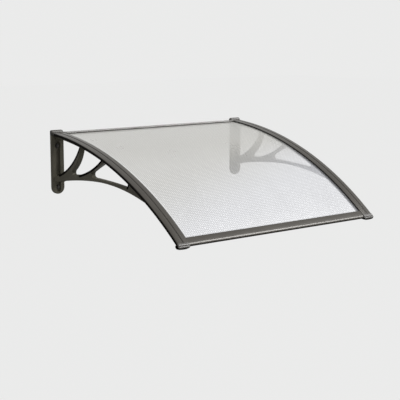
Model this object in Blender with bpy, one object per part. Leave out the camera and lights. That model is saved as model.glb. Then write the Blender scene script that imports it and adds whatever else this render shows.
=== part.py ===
import bpy
import bmesh
import math
from mathutils import Vector

# Wall-mounted door canopy: a curved polycarbonate sheet held on four sides, on two moulded wall brackets.
# Frame: +Z up, the wall is the plane Y = 0, the canopy stands out towards -Y, X runs along the wall.
# The origin is the middle of the wall seal's back face. All sizes below are in millimetres.

MM = 0.001
GAP = 0.3

# Rail arc, seen from the side: the rails' top face lies on this circle
ARC_RADIUS = 1412.5
ARC_CENTRE_Y = 100.5
TOP_AT_WALL_Z = 6.0
RAIL_CENTRE_X = 471.5
RAIL_SEGMENTS = 20

# Levels measured down from the rails' top face
TOP_WALL = 2.0
SHEET_TOP = 5.5
SHEET_THICKNESS = 3.0
BASE_SEAL_THICKNESS = 0.8
BASE_THICKNESS = 2.2
CHORD_DEPTH = 8.9
SHEET_BOTTOM = SHEET_TOP + SHEET_THICKNESS
BASE_SEAL_BOTTOM = SHEET_BOTTOM + GAP + BASE_SEAL_THICKNESS
BASE_TOP = BASE_SEAL_BOTTOM + GAP
BASE_BOTTOM = BASE_TOP + BASE_THICKNESS
CHORD_TOP = BASE_BOTTOM + GAP
CHORD_BOTTOM = CHORD_TOP + CHORD_DEPTH
TOP_SEAL_TOP = 4.2
FOOT_TOP = 2.9
LEG_BOTTOM = 11.0
BOSS_BOTTOM = SHEET_TOP - GAP

# Rail sections, across the rail from its centre line, positive towards the middle of the canopy
RAIL_HALF = 25.0
RAIL_LEG = 2.0
RAIL_CORNER = 4.0
GROOVE_HALF_TOP = 2.2
GROOVE_HALF_BOTTOM = 1.2
GROOVE_DEPTH = 1.2
BOSS_HALF = 5.0
FOOT_INSIDE = RAIL_HALF - 6.0
BASE_OUTSIDE = RAIL_HALF - 5.5
BASE_RIB = 2.0
BASE_INSIDE = RAIL_HALF + 10.0
BASE_SEAL_FROM = RAIL_HALF - 8.0
BASE_SEAL_TO = RAIL_HALF + 2.0

# Front and rear bars, along the slope
BAR_WIDTH = 35.5
NOSE_RADIUS = 6.0
BAR_LEG = 2.0
BAR_TOP_WALL = 1.6
NOSE_WALL = 1.8
BAR_FOOT = 5.0
BAR_BOSS_HALF = 3.0
BAR_SCREW_T = 12.0
BAR_BOSS_FROM = BAR_SCREW_T - BAR_BOSS_HALF
BAR_BOSS_TO = BAR_SCREW_T + BAR_BOSS_HALF
RAIL_END_T = 20.7
BAR_LIP_FROM = RAIL_END_T + 2 * GAP
FRONT_BAR_S = 865.7
SHEET_IN_FRONT_BAR = 18.0
REAR_BAR_BACK_S = 3.9
REAR_BAR_FRONT_S = 29.3
RAIL_END_S = FRONT_BAR_S + RAIL_END_T
STRIP_FROM = 2.0
STRIP_TO = 19.4
WALL_SEAL_TOP = 1.0
WALL_SEAL_BOTTOM = 8.0

# Sheet
SHEET_HALF_WIDTH = RAIL_CENTRE_X + RAIL_HALF - 4.5
SHEET_REAR_S = 14.5

# Wall bracket
PLATE_WIDTH = 56.0
PLATE_THICKNESS = 12.0
PLATE_TOP_Z = -7.0
PLATE_BOTTOM_Z = -242.0
PLATE_EDGE = 2.0
CHANNEL_WIDTH = 20.0
CHANNEL_DEPTH = 8.0
CHANNEL_TOP_Z = -30.0
CHANNEL_BOTTOM_Z = -234.0
BOSS_RECESS_RADIUS = 13.0
WEB_THICKNESS = 22.0
WEB_EDGE = 2.6
ARM_ROOT_TOP_Z = -167.0
ARM_ROOT_BOTTOM_Z = -194.0
ARM_CREST_Y = -320.0
ARM_CREST_Z = -163.0
ARM_TIP_Y = -620.0
ROOT_LENGTH = 46.0

# Screws
WALL_SCREW_RADIUS = 4.0
WALL_SCREW_HEAD = 6.5
WALL_SCREW_HEAD_HEIGHT = 5.3
WALL_SCREW_UPPER_Z = -49.0
WALL_SCREW_LOWER_Z = -214.0
WASHER_RADIUS = 8.5
WASHER_THICKNESS = 1.6
CLAMP_SCREW_RADIUS = 1.9
CLAMP_SCREW_HEAD = 3.8
CLAMP_SCREW_HEAD_HEIGHT = 2.4
HOLE_CLEARANCE = 0.3
CLAMP_SCREW_S = (95.0, 255.0, 425.0, 735.0, 835.0)
CHORD_SCREWS = 3
BAR_SCREW_X = (-300.0, 0.0, 300.0)
REAR_SCREW_S = 17.0

# End caps
HEAD_OUTSIDE = PLATE_WIDTH / 2
HEAD_INSIDE = RAIL_HALF + 7.5
HEAD_TOP_Z = 14.3
HEAD_DEPTH = 10.5
HEAD_OUTER_BEVEL = 5.5
HEAD_INNER_BEVEL = 12.0
NECK_OUTSIDE = RAIL_HALF - 2.5
NECK_TOP = 0.4
CLAMP_START_S = 22.3
TONGUE_FROM = 7.0
TONGUE_TO = RAIL_HALF - 6.5
TONGUE_LENGTH = 13.0
CAP_PROUD = 2.0
CAP_SIDE_PROUD = 1.2
CAP_NOSE_RADIUS = 3.0
CAP_LIP_RADIUS = 7.2
CAP_LIP_DROP = 7.7
CAP_LIP_BACK = 1.5
CAP_BOTTOM_ARC = 8.5
CAP_OUTER_CORNER = 10.0
CAP_INNER_CORNER = 4.0

START_ANGLE = math.asin(ARC_CENTRE_Y / ARC_RADIUS)
ARC_CENTRE_Z = TOP_AT_WALL_Z - ARC_RADIUS * math.cos(START_ANGLE)


for old in list(bpy.data.objects):
    bpy.data.objects.remove(old, do_unlink=True)


def make_material(name, colour, roughness, metallic):
    mat = bpy.data.materials.new(name)
    mat.use_nodes = True
    shader = mat.node_tree.nodes["Principled BSDF"]
    shader.inputs["Base Color"].default_value = (*colour, 1.0)
    shader.inputs["Roughness"].default_value = roughness
    shader.inputs["Metallic"].default_value = metallic
    return mat


LOOKS = {
    "moulding": ((0.030, 0.028, 0.025), 0.45, 0.0),
    "rail": ((0.075, 0.070, 0.062), 0.38, 0.7),
    "bar": ((0.085, 0.080, 0.072), 0.38, 0.7),
    "sheet": ((0.78, 0.80, 0.82), 0.30, 0.0),
    "cap": ((0.050, 0.047, 0.043), 0.42, 0.0),
    "rubber": ((0.015, 0.015, 0.015), 0.80, 0.0),
    "steel": ((0.060, 0.058, 0.055), 0.35, 0.9),
}


def arc_point(s, depth):
    """A point of the side view, s along the rails' top face from the wall and depth below that face."""
    angle = START_ANGLE + s / ARC_RADIUS
    radius = ARC_RADIUS - depth
    y = ARC_CENTRE_Y - radius * math.sin(angle)
    z = ARC_CENTRE_Z + radius * math.cos(angle)
    return y, z


def add_object(name, bm, look):
    bmesh.ops.remove_doubles(bm, verts=bm.verts, dist=0.00001)
    bmesh.ops.recalc_face_normals(bm, faces=bm.faces)
    mesh = bpy.data.meshes.new(name)
    bm.to_mesh(mesh)
    bm.free()
    mesh.shade_smooth()
    mesh.set_sharp_from_angle(angle=math.radians(32))
    obj = bpy.data.objects.new(name, mesh)
    bpy.context.scene.collection.objects.link(obj)
    if look:
        obj.data.materials.append(make_material(name + "_material", *LOOKS[look]))
    return obj


def loft(rings):
    """A closed body through rings of equal point count, with flat ends."""
    bm = bmesh.new()
    rows = [[bm.verts.new(Vector(p) * MM) for p in ring] for ring in rings]
    count = len(rings[0])
    for row, following in zip(rows[:-1], rows[1:]):
        for i in range(count):
            j = (i + 1) % count
            bm.faces.new((row[i], row[j], following[j], following[i]))
    bm.faces.new(rows[0][::-1])
    bm.faces.new(rows[-1])
    return bm


def side_prism(outline, x_low, x_high):
    """Extrudes an outline of the side view, given as (y, z), along X."""
    return loft([[(x, y, z) for y, z in outline] for x in (x_low, x_high)])


def steps(start, end, count):
    return [start + (end - start) * i / count for i in range(count + 1)]


def corner(cx, cz, radius, start_deg, end_deg, count):
    points = []
    for degrees in steps(start_deg, end_deg, count):
        a = math.radians(degrees)
        points.append((cx + radius * math.cos(a), cz + radius * math.sin(a)))
    return points


def arc_through(first, middle, last, count):
    """Points on the circle through three points, from first to last."""
    (ax, ay), (bx, by), (cx, cy) = first, middle, last
    d = 2 * (ax * (by - cy) + bx * (cy - ay) + cx * (ay - by))
    aa, bb, cc = ax * ax + ay * ay, bx * bx + by * by, cx * cx + cy * cy
    ux = (aa * (by - cy) + bb * (cy - ay) + cc * (ay - by)) / d
    uy = (aa * (cx - bx) + bb * (ax - cx) + cc * (bx - ax)) / d
    radius = math.hypot(ax - ux, ay - uy)
    start = math.atan2(ay - uy, ax - ux)
    span = math.atan2(cy - uy, cx - ux) - start
    turn = (bx - ax) * (cy - by) - (by - ay) * (cx - bx)
    if turn > 0 and span < 0:
        span += 2 * math.pi
    if turn < 0 and span > 0:
        span -= 2 * math.pi
    angles = steps(start, start + span, count)
    return [(ux + radius * math.cos(a), uy + radius * math.sin(a)) for a in angles]


def boolean(obj, tool, operation):
    """Joins or cuts with the EXACT solver and keeps the result as the object's mesh."""
    mod = obj.modifiers.new(operation.lower(), "BOOLEAN")
    mod.operation = operation
    mod.solver = "EXACT"
    mod.object = tool
    depsgraph = bpy.context.evaluated_depsgraph_get()
    result = bpy.data.meshes.new_from_object(obj.evaluated_get(depsgraph))
    obj.modifiers.clear()
    obj.data = result
    bpy.data.objects.remove(tool, do_unlink=True)


def turned(profile, origin, axis, sides):
    """A turned body: profile points are (radius, distance along the axis)."""
    direction = Vector(axis).normalized()
    across = direction.orthogonal().normalized()
    other = direction.cross(across)
    rings = []
    for radius, along in profile:
        ring = []
        for i in range(sides):
            a = 2 * math.pi * i / sides
            outward = across * math.cos(a) + other * math.sin(a)
            ring.append(Vector(origin) + direction * along + outward * radius)
        rings.append(ring)
    return loft(rings)


def merged(parts):
    """Several separate closed bodies in one mesh, used only as a cutter."""
    joined = bmesh.new()
    for part in parts:
        mesh = bpy.data.meshes.new("cutter")
        bmesh.ops.recalc_face_normals(part, faces=part.faces)
        part.to_mesh(mesh)
        part.free()
        joined.from_mesh(mesh)
        bpy.data.meshes.remove(mesh)
    return joined


def rail_sweep(section, side, s_from, s_to, count):
    """Sweeps a section, given as (across, depth), along the rail arc of one side."""
    rings = []
    for s in steps(s_from, s_to, count):
        ring = []
        for u, depth in section:
            y, z = arc_point(s, depth)
            ring.append((side * (RAIL_CENTRE_X - u), y, z))
        rings.append(ring)
    return loft(rings)


def slope_axis(s):
    """The outward normal of the rails' top face at s, as a direction in the side view."""
    angle = START_ANGLE + s / ARC_RADIUS
    return (0.0, -math.sin(angle), math.cos(angle))


def at_rail(side, u, s, depth):
    y, z = arc_point(s, depth)
    return (side * (RAIL_CENTRE_X - u), y, z)


# Sections shared by the left and the right rail
CROWN_FLAT = RAIL_HALF - RAIL_CORNER
LEG_INNER = RAIL_HALF - RAIL_LEG
CROWN_ANGLES = steps(0, math.pi / 2, 3)
CLAMP_SECTION = (
    [(-RAIL_HALF, LEG_BOTTOM)]
    + [(-CROWN_FLAT - RAIL_CORNER * math.cos(a), RAIL_CORNER * (1 - math.sin(a))) for a in CROWN_ANGLES]
    + [(-GROOVE_HALF_TOP, 0.0), (-GROOVE_HALF_BOTTOM, GROOVE_DEPTH)]
    + [(GROOVE_HALF_BOTTOM, GROOVE_DEPTH), (GROOVE_HALF_TOP, 0.0)]
    + [(CROWN_FLAT + RAIL_CORNER * math.sin(a), RAIL_CORNER * (1 - math.cos(a))) for a in CROWN_ANGLES]
    + [(RAIL_HALF, TOP_SEAL_TOP), (FOOT_INSIDE, TOP_SEAL_TOP), (FOOT_INSIDE, FOOT_TOP), (LEG_INNER, FOOT_TOP)]
    + [(LEG_INNER - 1.0, TOP_WALL), (BOSS_HALF, TOP_WALL), (BOSS_HALF, BOSS_BOTTOM)]
    + [(-BOSS_HALF, BOSS_BOTTOM), (-BOSS_HALF, TOP_WALL)]
    + [(-LEG_INNER + 1.0, TOP_WALL), (-LEG_INNER, TOP_WALL + 1.0), (-LEG_INNER, LEG_BOTTOM)]
)
BASE_SECTION = [
    (-BASE_OUTSIDE, SHEET_BOTTOM + GAP), (-BASE_OUTSIDE + BASE_RIB, SHEET_BOTTOM + GAP),
    (-BASE_OUTSIDE + BASE_RIB, BASE_TOP),
    (BASE_INSIDE, BASE_TOP), (BASE_INSIDE, BASE_BOTTOM - 1.0), (BASE_INSIDE - 1.0, BASE_BOTTOM),
    (-BASE_OUTSIDE + 1.0, BASE_BOTTOM), (-BASE_OUTSIDE, BASE_BOTTOM - 1.0),
]


def screw_hole(side, u, s, depth_from, depth_to, radius):
    profile = [(radius, 0.0), (radius, depth_to - depth_from)]
    return turned(profile, at_rail(side, u, s, depth_to), slope_axis(s), 12)


def pan_screw(name, origin, axis, length):
    """A pan-head screw: origin is the seat of its head, the shank runs along the axis."""
    r, h = CLAMP_SCREW_HEAD, CLAMP_SCREW_HEAD_HEIGHT
    shank = CLAMP_SCREW_RADIUS
    profile = [(r * 0.65, -h), (r, -h * 0.5), (r, 0.0), (shank, 0.0), (shank, length)]
    return add_object(name, turned(profile, origin, axis, 10), "steel")


def clamp_seat(index):
    """Depth of the surface under which a rail screw's head lies."""
    return CHORD_BOTTOM if index < CHORD_SCREWS else BASE_BOTTOM


# Rails: base profile below the sheet, clamp profile above it, seals between
def build_rail(side, word):
    hole = CLAMP_SCREW_RADIUS + HOLE_CLEARANCE
    body = rail_sweep(BASE_SECTION, side, SHEET_REAR_S, RAIL_END_S, RAIL_SEGMENTS)
    base = add_object("rail_base_" + word, body, "rail")
    cuts = [screw_hole(side, 0.0, s, BASE_TOP - 2, BASE_BOTTOM + 2, hole) for s in CLAMP_SCREW_S]
    boolean(base, add_object("base_cutter", merged(cuts), None), "DIFFERENCE")
    body = rail_sweep(CLAMP_SECTION, side, CLAMP_START_S, RAIL_END_S, RAIL_SEGMENTS)
    clamp = add_object("rail_clamp_" + word, body, "rail")
    cuts = [screw_hole(side, 0.0, s, GROOVE_DEPTH + 1.0, BOSS_BOTTOM + 2, hole) for s in CLAMP_SCREW_S]
    boolean(clamp, add_object("clamp_cutter", merged(cuts), None), "DIFFERENCE")
    top, bottom = TOP_SEAL_TOP + GAP, BOSS_BOTTOM
    seal = [(FOOT_INSIDE, top), (RAIL_HALF, top), (RAIL_HALF, bottom), (FOOT_INSIDE, bottom)]
    body = rail_sweep(seal, side, REAR_BAR_FRONT_S + 1.0, FRONT_BAR_S - 1.0, RAIL_SEGMENTS)
    add_object("top_seal_" + word, body, "rubber")
    top, bottom = SHEET_BOTTOM + GAP, BASE_SEAL_BOTTOM
    seal = [(BASE_SEAL_FROM, top), (BASE_SEAL_TO, top), (BASE_SEAL_TO, bottom), (BASE_SEAL_FROM, bottom)]
    body = rail_sweep(seal, side, CLAMP_START_S + 8.0, FRONT_BAR_S + 8.0, RAIL_SEGMENTS)
    add_object("base_seal_" + word, body, "rubber")
    for index, s in enumerate(CLAMP_SCREW_S):
        seat = clamp_seat(index) + GAP
        name = "clamp_screw_%s_%d" % (word, index + 1)
        pan_screw(name, at_rail(side, 0.0, s, seat), slope_axis(s), seat - GROOVE_DEPTH - 1.4)


# Wall bracket: wall plate, arm, two branches and the chord under the rail, moulded in one piece
def chord_line(s_from, s_to, depth, count):
    return [arc_point(s, depth) for s in steps(s_from, s_to, count)]


def s_at_y(y, depth):
    """Distance along the arc of the point at that Y, on the circle that lies depth below the top face."""
    return (math.asin((ARC_CENTRE_Y - y) / (ARC_RADIUS - depth)) - START_ANGLE) * ARC_RADIUS


def chord_at(y):
    return arc_point(s_at_y(y, CHORD_BOTTOM), CHORD_BOTTOM)


def chord_between(y_from, y_to):
    """Points along the chord's lower side."""
    return chord_line(s_at_y(y_from, CHORD_BOTTOM), s_at_y(y_to, CHORD_BOTTOM), CHORD_BOTTOM, 5)


ARM_LOWER_WALL = (-PLATE_THICKNESS, ARM_ROOT_BOTTOM_Z)
ARM_LOWER_MIDDLE = (-120.0, -176.5)
ARM_CREST = (ARM_CREST_Y, ARM_CREST_Z)
ARM_LOWER_OUTER = (-470.0, -176.0)

BRANCH_ONE_FOOT = (-PLATE_THICKNESS, ARM_ROOT_TOP_Z)
BRANCH_ONE_BACK = (-114.0, -117.5)
BRANCH_ONE_TOP_Y = -181.0
BRANCH_ONE_FRONT_TOP_Y = -192.0
BRANCH_ONE_FRONT = (-164.0, -103.5)
BRANCH_ONE_FRONT_FOOT = (-131.0, -136.0)

POCKET_TWO_FOOT = (-128.8, -140.0)
POCKET_TWO_CORNER = (-129.0, -150.0)
POCKET_TWO_FLOOR = (-138.0, -151.3)
BRANCH_TWO_FLOOR = (-175.0, -148.5)
BRANCH_TWO_BACK = (-250.0, -124.0)
BRANCH_TWO_TOP_Y = -326.0
BRANCH_TWO_FRONT_TOP_Y = -349.0
BRANCH_TWO_FRONT = (-308.0, -106.5)
BRANCH_TWO_FRONT_FOOT = (-270.0, -126.0)

POCKET_THREE_END_TOP = (-263.5, -131.0)
POCKET_THREE_END = (-260.5, -138.0)
POCKET_THREE_END_LOW = (-266.0, -147.5)
POCKET_THREE_FLOOR = (-277.0, -150.0)
POCKET_THREE_MIDDLE = (-385.0, -155.0)
POCKET_THREE_FAR = (-482.0, -163.5)
POCKET_THREE_TIP_LOW = (-491.0, -163.0)
POCKET_THREE_TIP = (-496.5, -158.5)
POCKET_THREE_TOP_Y = -497.0


def web_outline():
    lower = arc_through(ARM_LOWER_WALL, ARM_LOWER_MIDDLE, ARM_CREST, 12)
    lower += arc_through(ARM_CREST, ARM_LOWER_OUTER, chord_at(ARM_TIP_Y), 14)[1:]
    end_s = s_at_y(ARM_TIP_Y, CHORD_BOTTOM) + 34.0
    tip = [arc_point(end_s - 2.0, CHORD_TOP + 2.6), arc_point(end_s, CHORD_TOP + 0.8)]
    upper = chord_line(end_s - 0.6, 14.0, CHORD_TOP, 18)
    inside = -PLATE_THICKNESS + CHANNEL_DEPTH + 1.0
    chord_z = chord_at(-PLATE_THICKNESS)[1]
    notch = [(inside, upper[-1][1]), (inside, chord_z - 6.0), (-PLATE_THICKNESS - 1.0, chord_z - 5.0)]
    notch += chord_between(-20.0, BRANCH_ONE_TOP_Y + 7.0)
    notch += arc_through(chord_at(BRANCH_ONE_TOP_Y), BRANCH_ONE_BACK, BRANCH_ONE_FOOT, 12)
    return lower + tip + upper + notch + [(inside, ARM_ROOT_TOP_Z + 1.0), (inside, ARM_ROOT_BOTTOM_Z)]


def opening_two():
    front = arc_through(chord_at(BRANCH_ONE_FRONT_TOP_Y), BRANCH_ONE_FRONT, BRANCH_ONE_FRONT_FOOT, 8)
    foot = arc_through(POCKET_TWO_FOOT, POCKET_TWO_CORNER, POCKET_TWO_FLOOR, 3)
    back = arc_through(BRANCH_TWO_FLOOR, BRANCH_TWO_BACK, chord_at(BRANCH_TWO_TOP_Y), 10)
    return front + foot + back + chord_between(BRANCH_TWO_TOP_Y + 14, BRANCH_ONE_FRONT_TOP_Y - 10)


def opening_three():
    front = arc_through(chord_at(BRANCH_TWO_FRONT_TOP_Y), BRANCH_TWO_FRONT, BRANCH_TWO_FRONT_FOOT, 5)
    end = arc_through(POCKET_THREE_END_TOP, POCKET_THREE_END, POCKET_THREE_END_LOW, 4)
    floor = arc_through(POCKET_THREE_FLOOR, POCKET_THREE_MIDDLE, POCKET_THREE_FAR, 8)
    far = arc_through(POCKET_THREE_TIP_LOW, POCKET_THREE_TIP, chord_at(POCKET_THREE_TOP_Y), 3)
    chord = chord_between(POCKET_THREE_TOP_Y + 10, BRANCH_TWO_FRONT_TOP_Y - 14)
    return front + end + floor + far + chord


def build_web(side):
    """The flat lattice as a filled curve with rounded edges, stood up in the side view."""
    curve = bpy.data.curves.new("web", "CURVE")
    curve.dimensions = "2D"
    curve.fill_mode = "BOTH"
    curve.extrude = (WEB_THICKNESS / 2 - WEB_EDGE) * MM
    curve.bevel_depth = WEB_EDGE * MM
    curve.bevel_resolution = 1
    curve.offset = -WEB_EDGE * MM
    for outline in (web_outline(), opening_two(), opening_three()):
        spline = curve.splines.new("POLY")
        spline.points.add(len(outline) - 1)
        for point, (y, z) in zip(spline.points, outline):
            point.co = (y * MM, z * MM, 0.0, 1.0)
        spline.use_cyclic_u = True
    holder = bpy.data.objects.new("web", curve)
    bpy.context.scene.collection.objects.link(holder)
    depsgraph = bpy.context.evaluated_depsgraph_get()
    mesh = bpy.data.meshes.new_from_object(holder.evaluated_get(depsgraph))
    bpy.data.objects.remove(holder, do_unlink=True)
    for vertex in mesh.vertices:
        y, z, x = vertex.co
        vertex.co = (side * RAIL_CENTRE_X * MM + x, y, z)
    bm = bmesh.new()
    bm.from_mesh(mesh)
    bpy.data.meshes.remove(mesh)
    return bm


def plate_outline(half, bottom_z, top_z, count):
    """Front view of the plate about its centre line: flat top, half-round bottom."""
    low = corner(0.0, bottom_z + half, half, 180, 360, count)
    return [(-half, top_z)] + low + [(half, top_z)]


def build_plate(side):
    """The wall plate, chamfered round its front edge."""
    rings = []
    half = PLATE_WIDTH / 2
    front = -PLATE_THICKNESS
    for y, inset in ((0.0, 0.0), (front + PLATE_EDGE, 0.0), (front + 0.6, 0.6), (front, PLATE_EDGE)):
        outline = plate_outline(half - inset, PLATE_BOTTOM_Z + inset, PLATE_TOP_Z, 14)
        rings.append([(side * RAIL_CENTRE_X + x, y, z) for x, z in outline])
    return loft(rings)


def build_root(side):
    """The arm's flared root, as wide as the plate where it leaves it."""
    rings = []
    narrow = WEB_THICKNESS / 2 - 1.5
    wide = PLATE_WIDTH / 2 - PLATE_EDGE
    for f in steps(0.0, 1.0, 6):
        y = -PLATE_THICKNESS + CHANNEL_DEPTH + 1.0 - f * ROOT_LENGTH
        half = narrow + (wide - narrow) * (1 - f) ** 2
        top = ARM_ROOT_TOP_Z - 1.0 + 8.0 * f ** 1.5
        low = ARM_ROOT_BOTTOM_Z + 1.0 + 4.0 * f
        x0 = side * RAIL_CENTRE_X
        x_low, x_high = x0 - half, x0 + half
        edge = 2.5
        rings.append([
            (x_low, y, low + edge), (x_low, y, top - edge), (x_low + edge, y, top), (x_high - edge, y, top),
            (x_high, y, top - edge), (x_high, y, low + edge), (x_high - edge, y, low), (x_low + edge, y, low),
        ])
    return loft(rings)


def build_bracket(side, word):
    x0 = side * RAIL_CENTRE_X
    bracket = add_object("bracket_" + word, build_plate(side), "moulding")
    half = CHANNEL_WIDTH / 2
    top = corner(0.0, CHANNEL_TOP_Z - half, half, 0, 180, 8)
    low = corner(0.0, CHANNEL_BOTTOM_Z + half, half, 180, 360, 8)
    floor_y = -PLATE_THICKNESS + CHANNEL_DEPTH
    channel = loft([[(x0 + x, y, z) for x, z in top + low] for y in (-PLATE_THICKNESS - 2, floor_y)])
    boolean(bracket, add_object("channel_cutter", channel, None), "DIFFERENCE")
    profile = [(BOSS_RECESS_RADIUS, 0.0), (BOSS_RECESS_RADIUS, CHANNEL_DEPTH + 1.9)]
    recess = turned(profile, (x0, floor_y - 0.1, WALL_SCREW_UPPER_Z), (0, -1, 0), 24)
    boolean(bracket, add_object("recess_cutter", recess, None), "DIFFERENCE")
    boolean(bracket, add_object("web_tool", build_web(side), None), "UNION")
    boolean(bracket, add_object("root_tool", build_root(side), None), "UNION")
    hole = WALL_SCREW_RADIUS + HOLE_CLEARANCE
    profile = [(hole, 0.0), (hole, PLATE_THICKNESS + 1)]
    cuts = [turned(profile, (x0, 1.0, z), (0, -1, 0), 16) for z in (WALL_SCREW_UPPER_Z, WALL_SCREW_LOWER_Z)]
    hole = CLAMP_SCREW_RADIUS + HOLE_CLEARANCE
    for s in CLAMP_SCREW_S[:CHORD_SCREWS]:
        cuts.append(screw_hole(side, 0.0, s, CHORD_TOP - 2, CHORD_BOTTOM + 2, hole))
    boolean(bracket, add_object("hole_cutter", merged(cuts), None), "DIFFERENCE")
    bracket.data.shade_smooth()
    bracket.data.set_sharp_from_angle(angle=math.radians(32))
    for place, z in (("upper", WALL_SCREW_UPPER_Z), ("lower", WALL_SCREW_LOWER_Z)):
        build_wall_screw(x0, z, floor_y, word + "_" + place)


def build_wall_screw(x0, z, floor_y, suffix):
    """A washer and a hexagon-head screw in the plate's channel. The shank ends at the wall plane."""
    seat = floor_y - GAP
    bore = WALL_SCREW_RADIUS + HOLE_CLEARANCE
    ring = []
    angles = steps(0, 2 * math.pi, 24)[:-1]
    outer, thick = WASHER_RADIUS, WASHER_THICKNESS
    for radius, along in ((bore, 0.0), (outer, 0.0), (outer, thick), (bore, thick)):
        ring.append([(x0 + radius * math.cos(a), seat - along, z + radius * math.sin(a)) for a in angles])
    bm = bmesh.new()
    rows = [[bm.verts.new(Vector(p) * MM) for p in r] for r in ring]
    for k in range(4):
        a, b = rows[k], rows[(k + 1) % 4]
        for i in range(24):
            j = (i + 1) % 24
            bm.faces.new((a[i], a[j], b[j], b[i]))
    add_object("wall_washer_" + suffix, bm, "steel")
    head_y = seat - WASHER_THICKNESS - GAP
    head_top = head_y - WALL_SCREW_HEAD_HEIGHT
    profile = [(WALL_SCREW_HEAD, 0.0), (WALL_SCREW_HEAD, head_y - head_top)]
    screw = add_object("wall_screw_" + suffix, turned(profile, (x0, head_y, z), (0, -1, 0), 6), "steel")
    profile = [(WALL_SCREW_RADIUS, 0.0), (WALL_SCREW_RADIUS, -GAP - head_y + 1.0)]
    shank = turned(profile, (x0, -GAP, z), (0, -1, 0), 16)
    boolean(screw, add_object("shank_tool", shank, None), "UNION")


# Sheet, with the holes that the screws pass through
def build_sheet():
    half = SHEET_HALF_WIDTH
    section = [(-half, SHEET_TOP), (half, SHEET_TOP), (half, SHEET_BOTTOM), (-half, SHEET_BOTTOM)]
    rings = []
    for s in steps(SHEET_REAR_S, FRONT_BAR_S + SHEET_IN_FRONT_BAR, 2 * RAIL_SEGMENTS):
        rings.append([(x, *arc_point(s, depth)) for x, depth in section])
    sheet = add_object("sheet", loft(rings), "sheet")
    hole = CLAMP_SCREW_RADIUS + HOLE_CLEARANCE
    cuts = []
    for side in (-1, 1):
        cuts += [screw_hole(side, 0.0, s, SHEET_TOP - 2, SHEET_BOTTOM + 2, hole) for s in CLAMP_SCREW_S]
    for x in BAR_SCREW_X:
        for s in (FRONT_BAR_S + BAR_SCREW_T, REAR_SCREW_S):
            cuts.append(screw_hole(1, RAIL_CENTRE_X - x, s, SHEET_TOP - 2, SHEET_BOTTOM + 2, hole))
    boolean(sheet, add_object("sheet_cutter", merged(cuts), None), "DIFFERENCE")


# Front and rear bars with their strips below the sheet
def bar_outline(section):
    return [arc_point(s, depth) for s, depth in section]


def front_bar_section():
    """The front bar in arc coordinates: top wall, half-round nose, lip, boss and rear leg."""
    s0 = FRONT_BAR_S
    nose_s = s0 + BAR_WIDTH - NOSE_RADIUS
    outer = [(s0, TOP_SEAL_TOP), (s0, 1.0), (s0 + 1.0, 0.0)]
    for a in steps(0, math.pi, 8):
        outer.append((nose_s + NOSE_RADIUS * math.sin(a), NOSE_RADIUS - NOSE_RADIUS * math.cos(a)))
    wall = NOSE_RADIUS - NOSE_WALL
    inner = [(s0 + BAR_LIP_FROM, 2 * NOSE_RADIUS), (s0 + BAR_LIP_FROM, NOSE_RADIUS + wall)]
    inner += [(nose_s + wall * math.sin(a), NOSE_RADIUS - wall * math.cos(a)) for a in steps(math.pi, 0, 6)]
    low, high = s0 + BAR_BOSS_FROM, s0 + BAR_BOSS_TO
    boss = [(high, BAR_TOP_WALL), (high, BOSS_BOTTOM), (low, BOSS_BOTTOM), (low, BAR_TOP_WALL)]
    low, high = s0 + BAR_LEG, s0 + BAR_FOOT
    leg = [(low, BAR_TOP_WALL), (low, FOOT_TOP), (high, FOOT_TOP), (high, TOP_SEAL_TOP)]
    return outer + inner + boss + leg


def rear_bar_section():
    """The rear bar: flat back, top wall, boss and front leg."""
    back, front = REAR_BAR_BACK_S + GAP, REAR_BAR_FRONT_S
    outer = [(back, SHEET_BOTTOM), (back, 0.8), (back + 0.8, 0.0)]
    outer += [(front - 2.5, 0.0), (front - 0.7, 0.7), (front, 2.5), (front, TOP_SEAL_TOP)]
    inner, leg = front - BAR_FOOT, front - BAR_LEG
    foot = [(inner, TOP_SEAL_TOP), (inner, FOOT_TOP), (leg, FOOT_TOP), (leg, BAR_TOP_WALL)]
    low, high = REAR_SCREW_S - BAR_BOSS_HALF, REAR_SCREW_S + BAR_BOSS_HALF
    boss = [(high, BAR_TOP_WALL), (high, BOSS_BOTTOM), (low, BOSS_BOTTOM), (low, BAR_TOP_WALL)]
    return outer + foot + boss + [(back + BAR_LEG, BAR_TOP_WALL), (back + BAR_LEG, SHEET_BOTTOM)]


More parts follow.
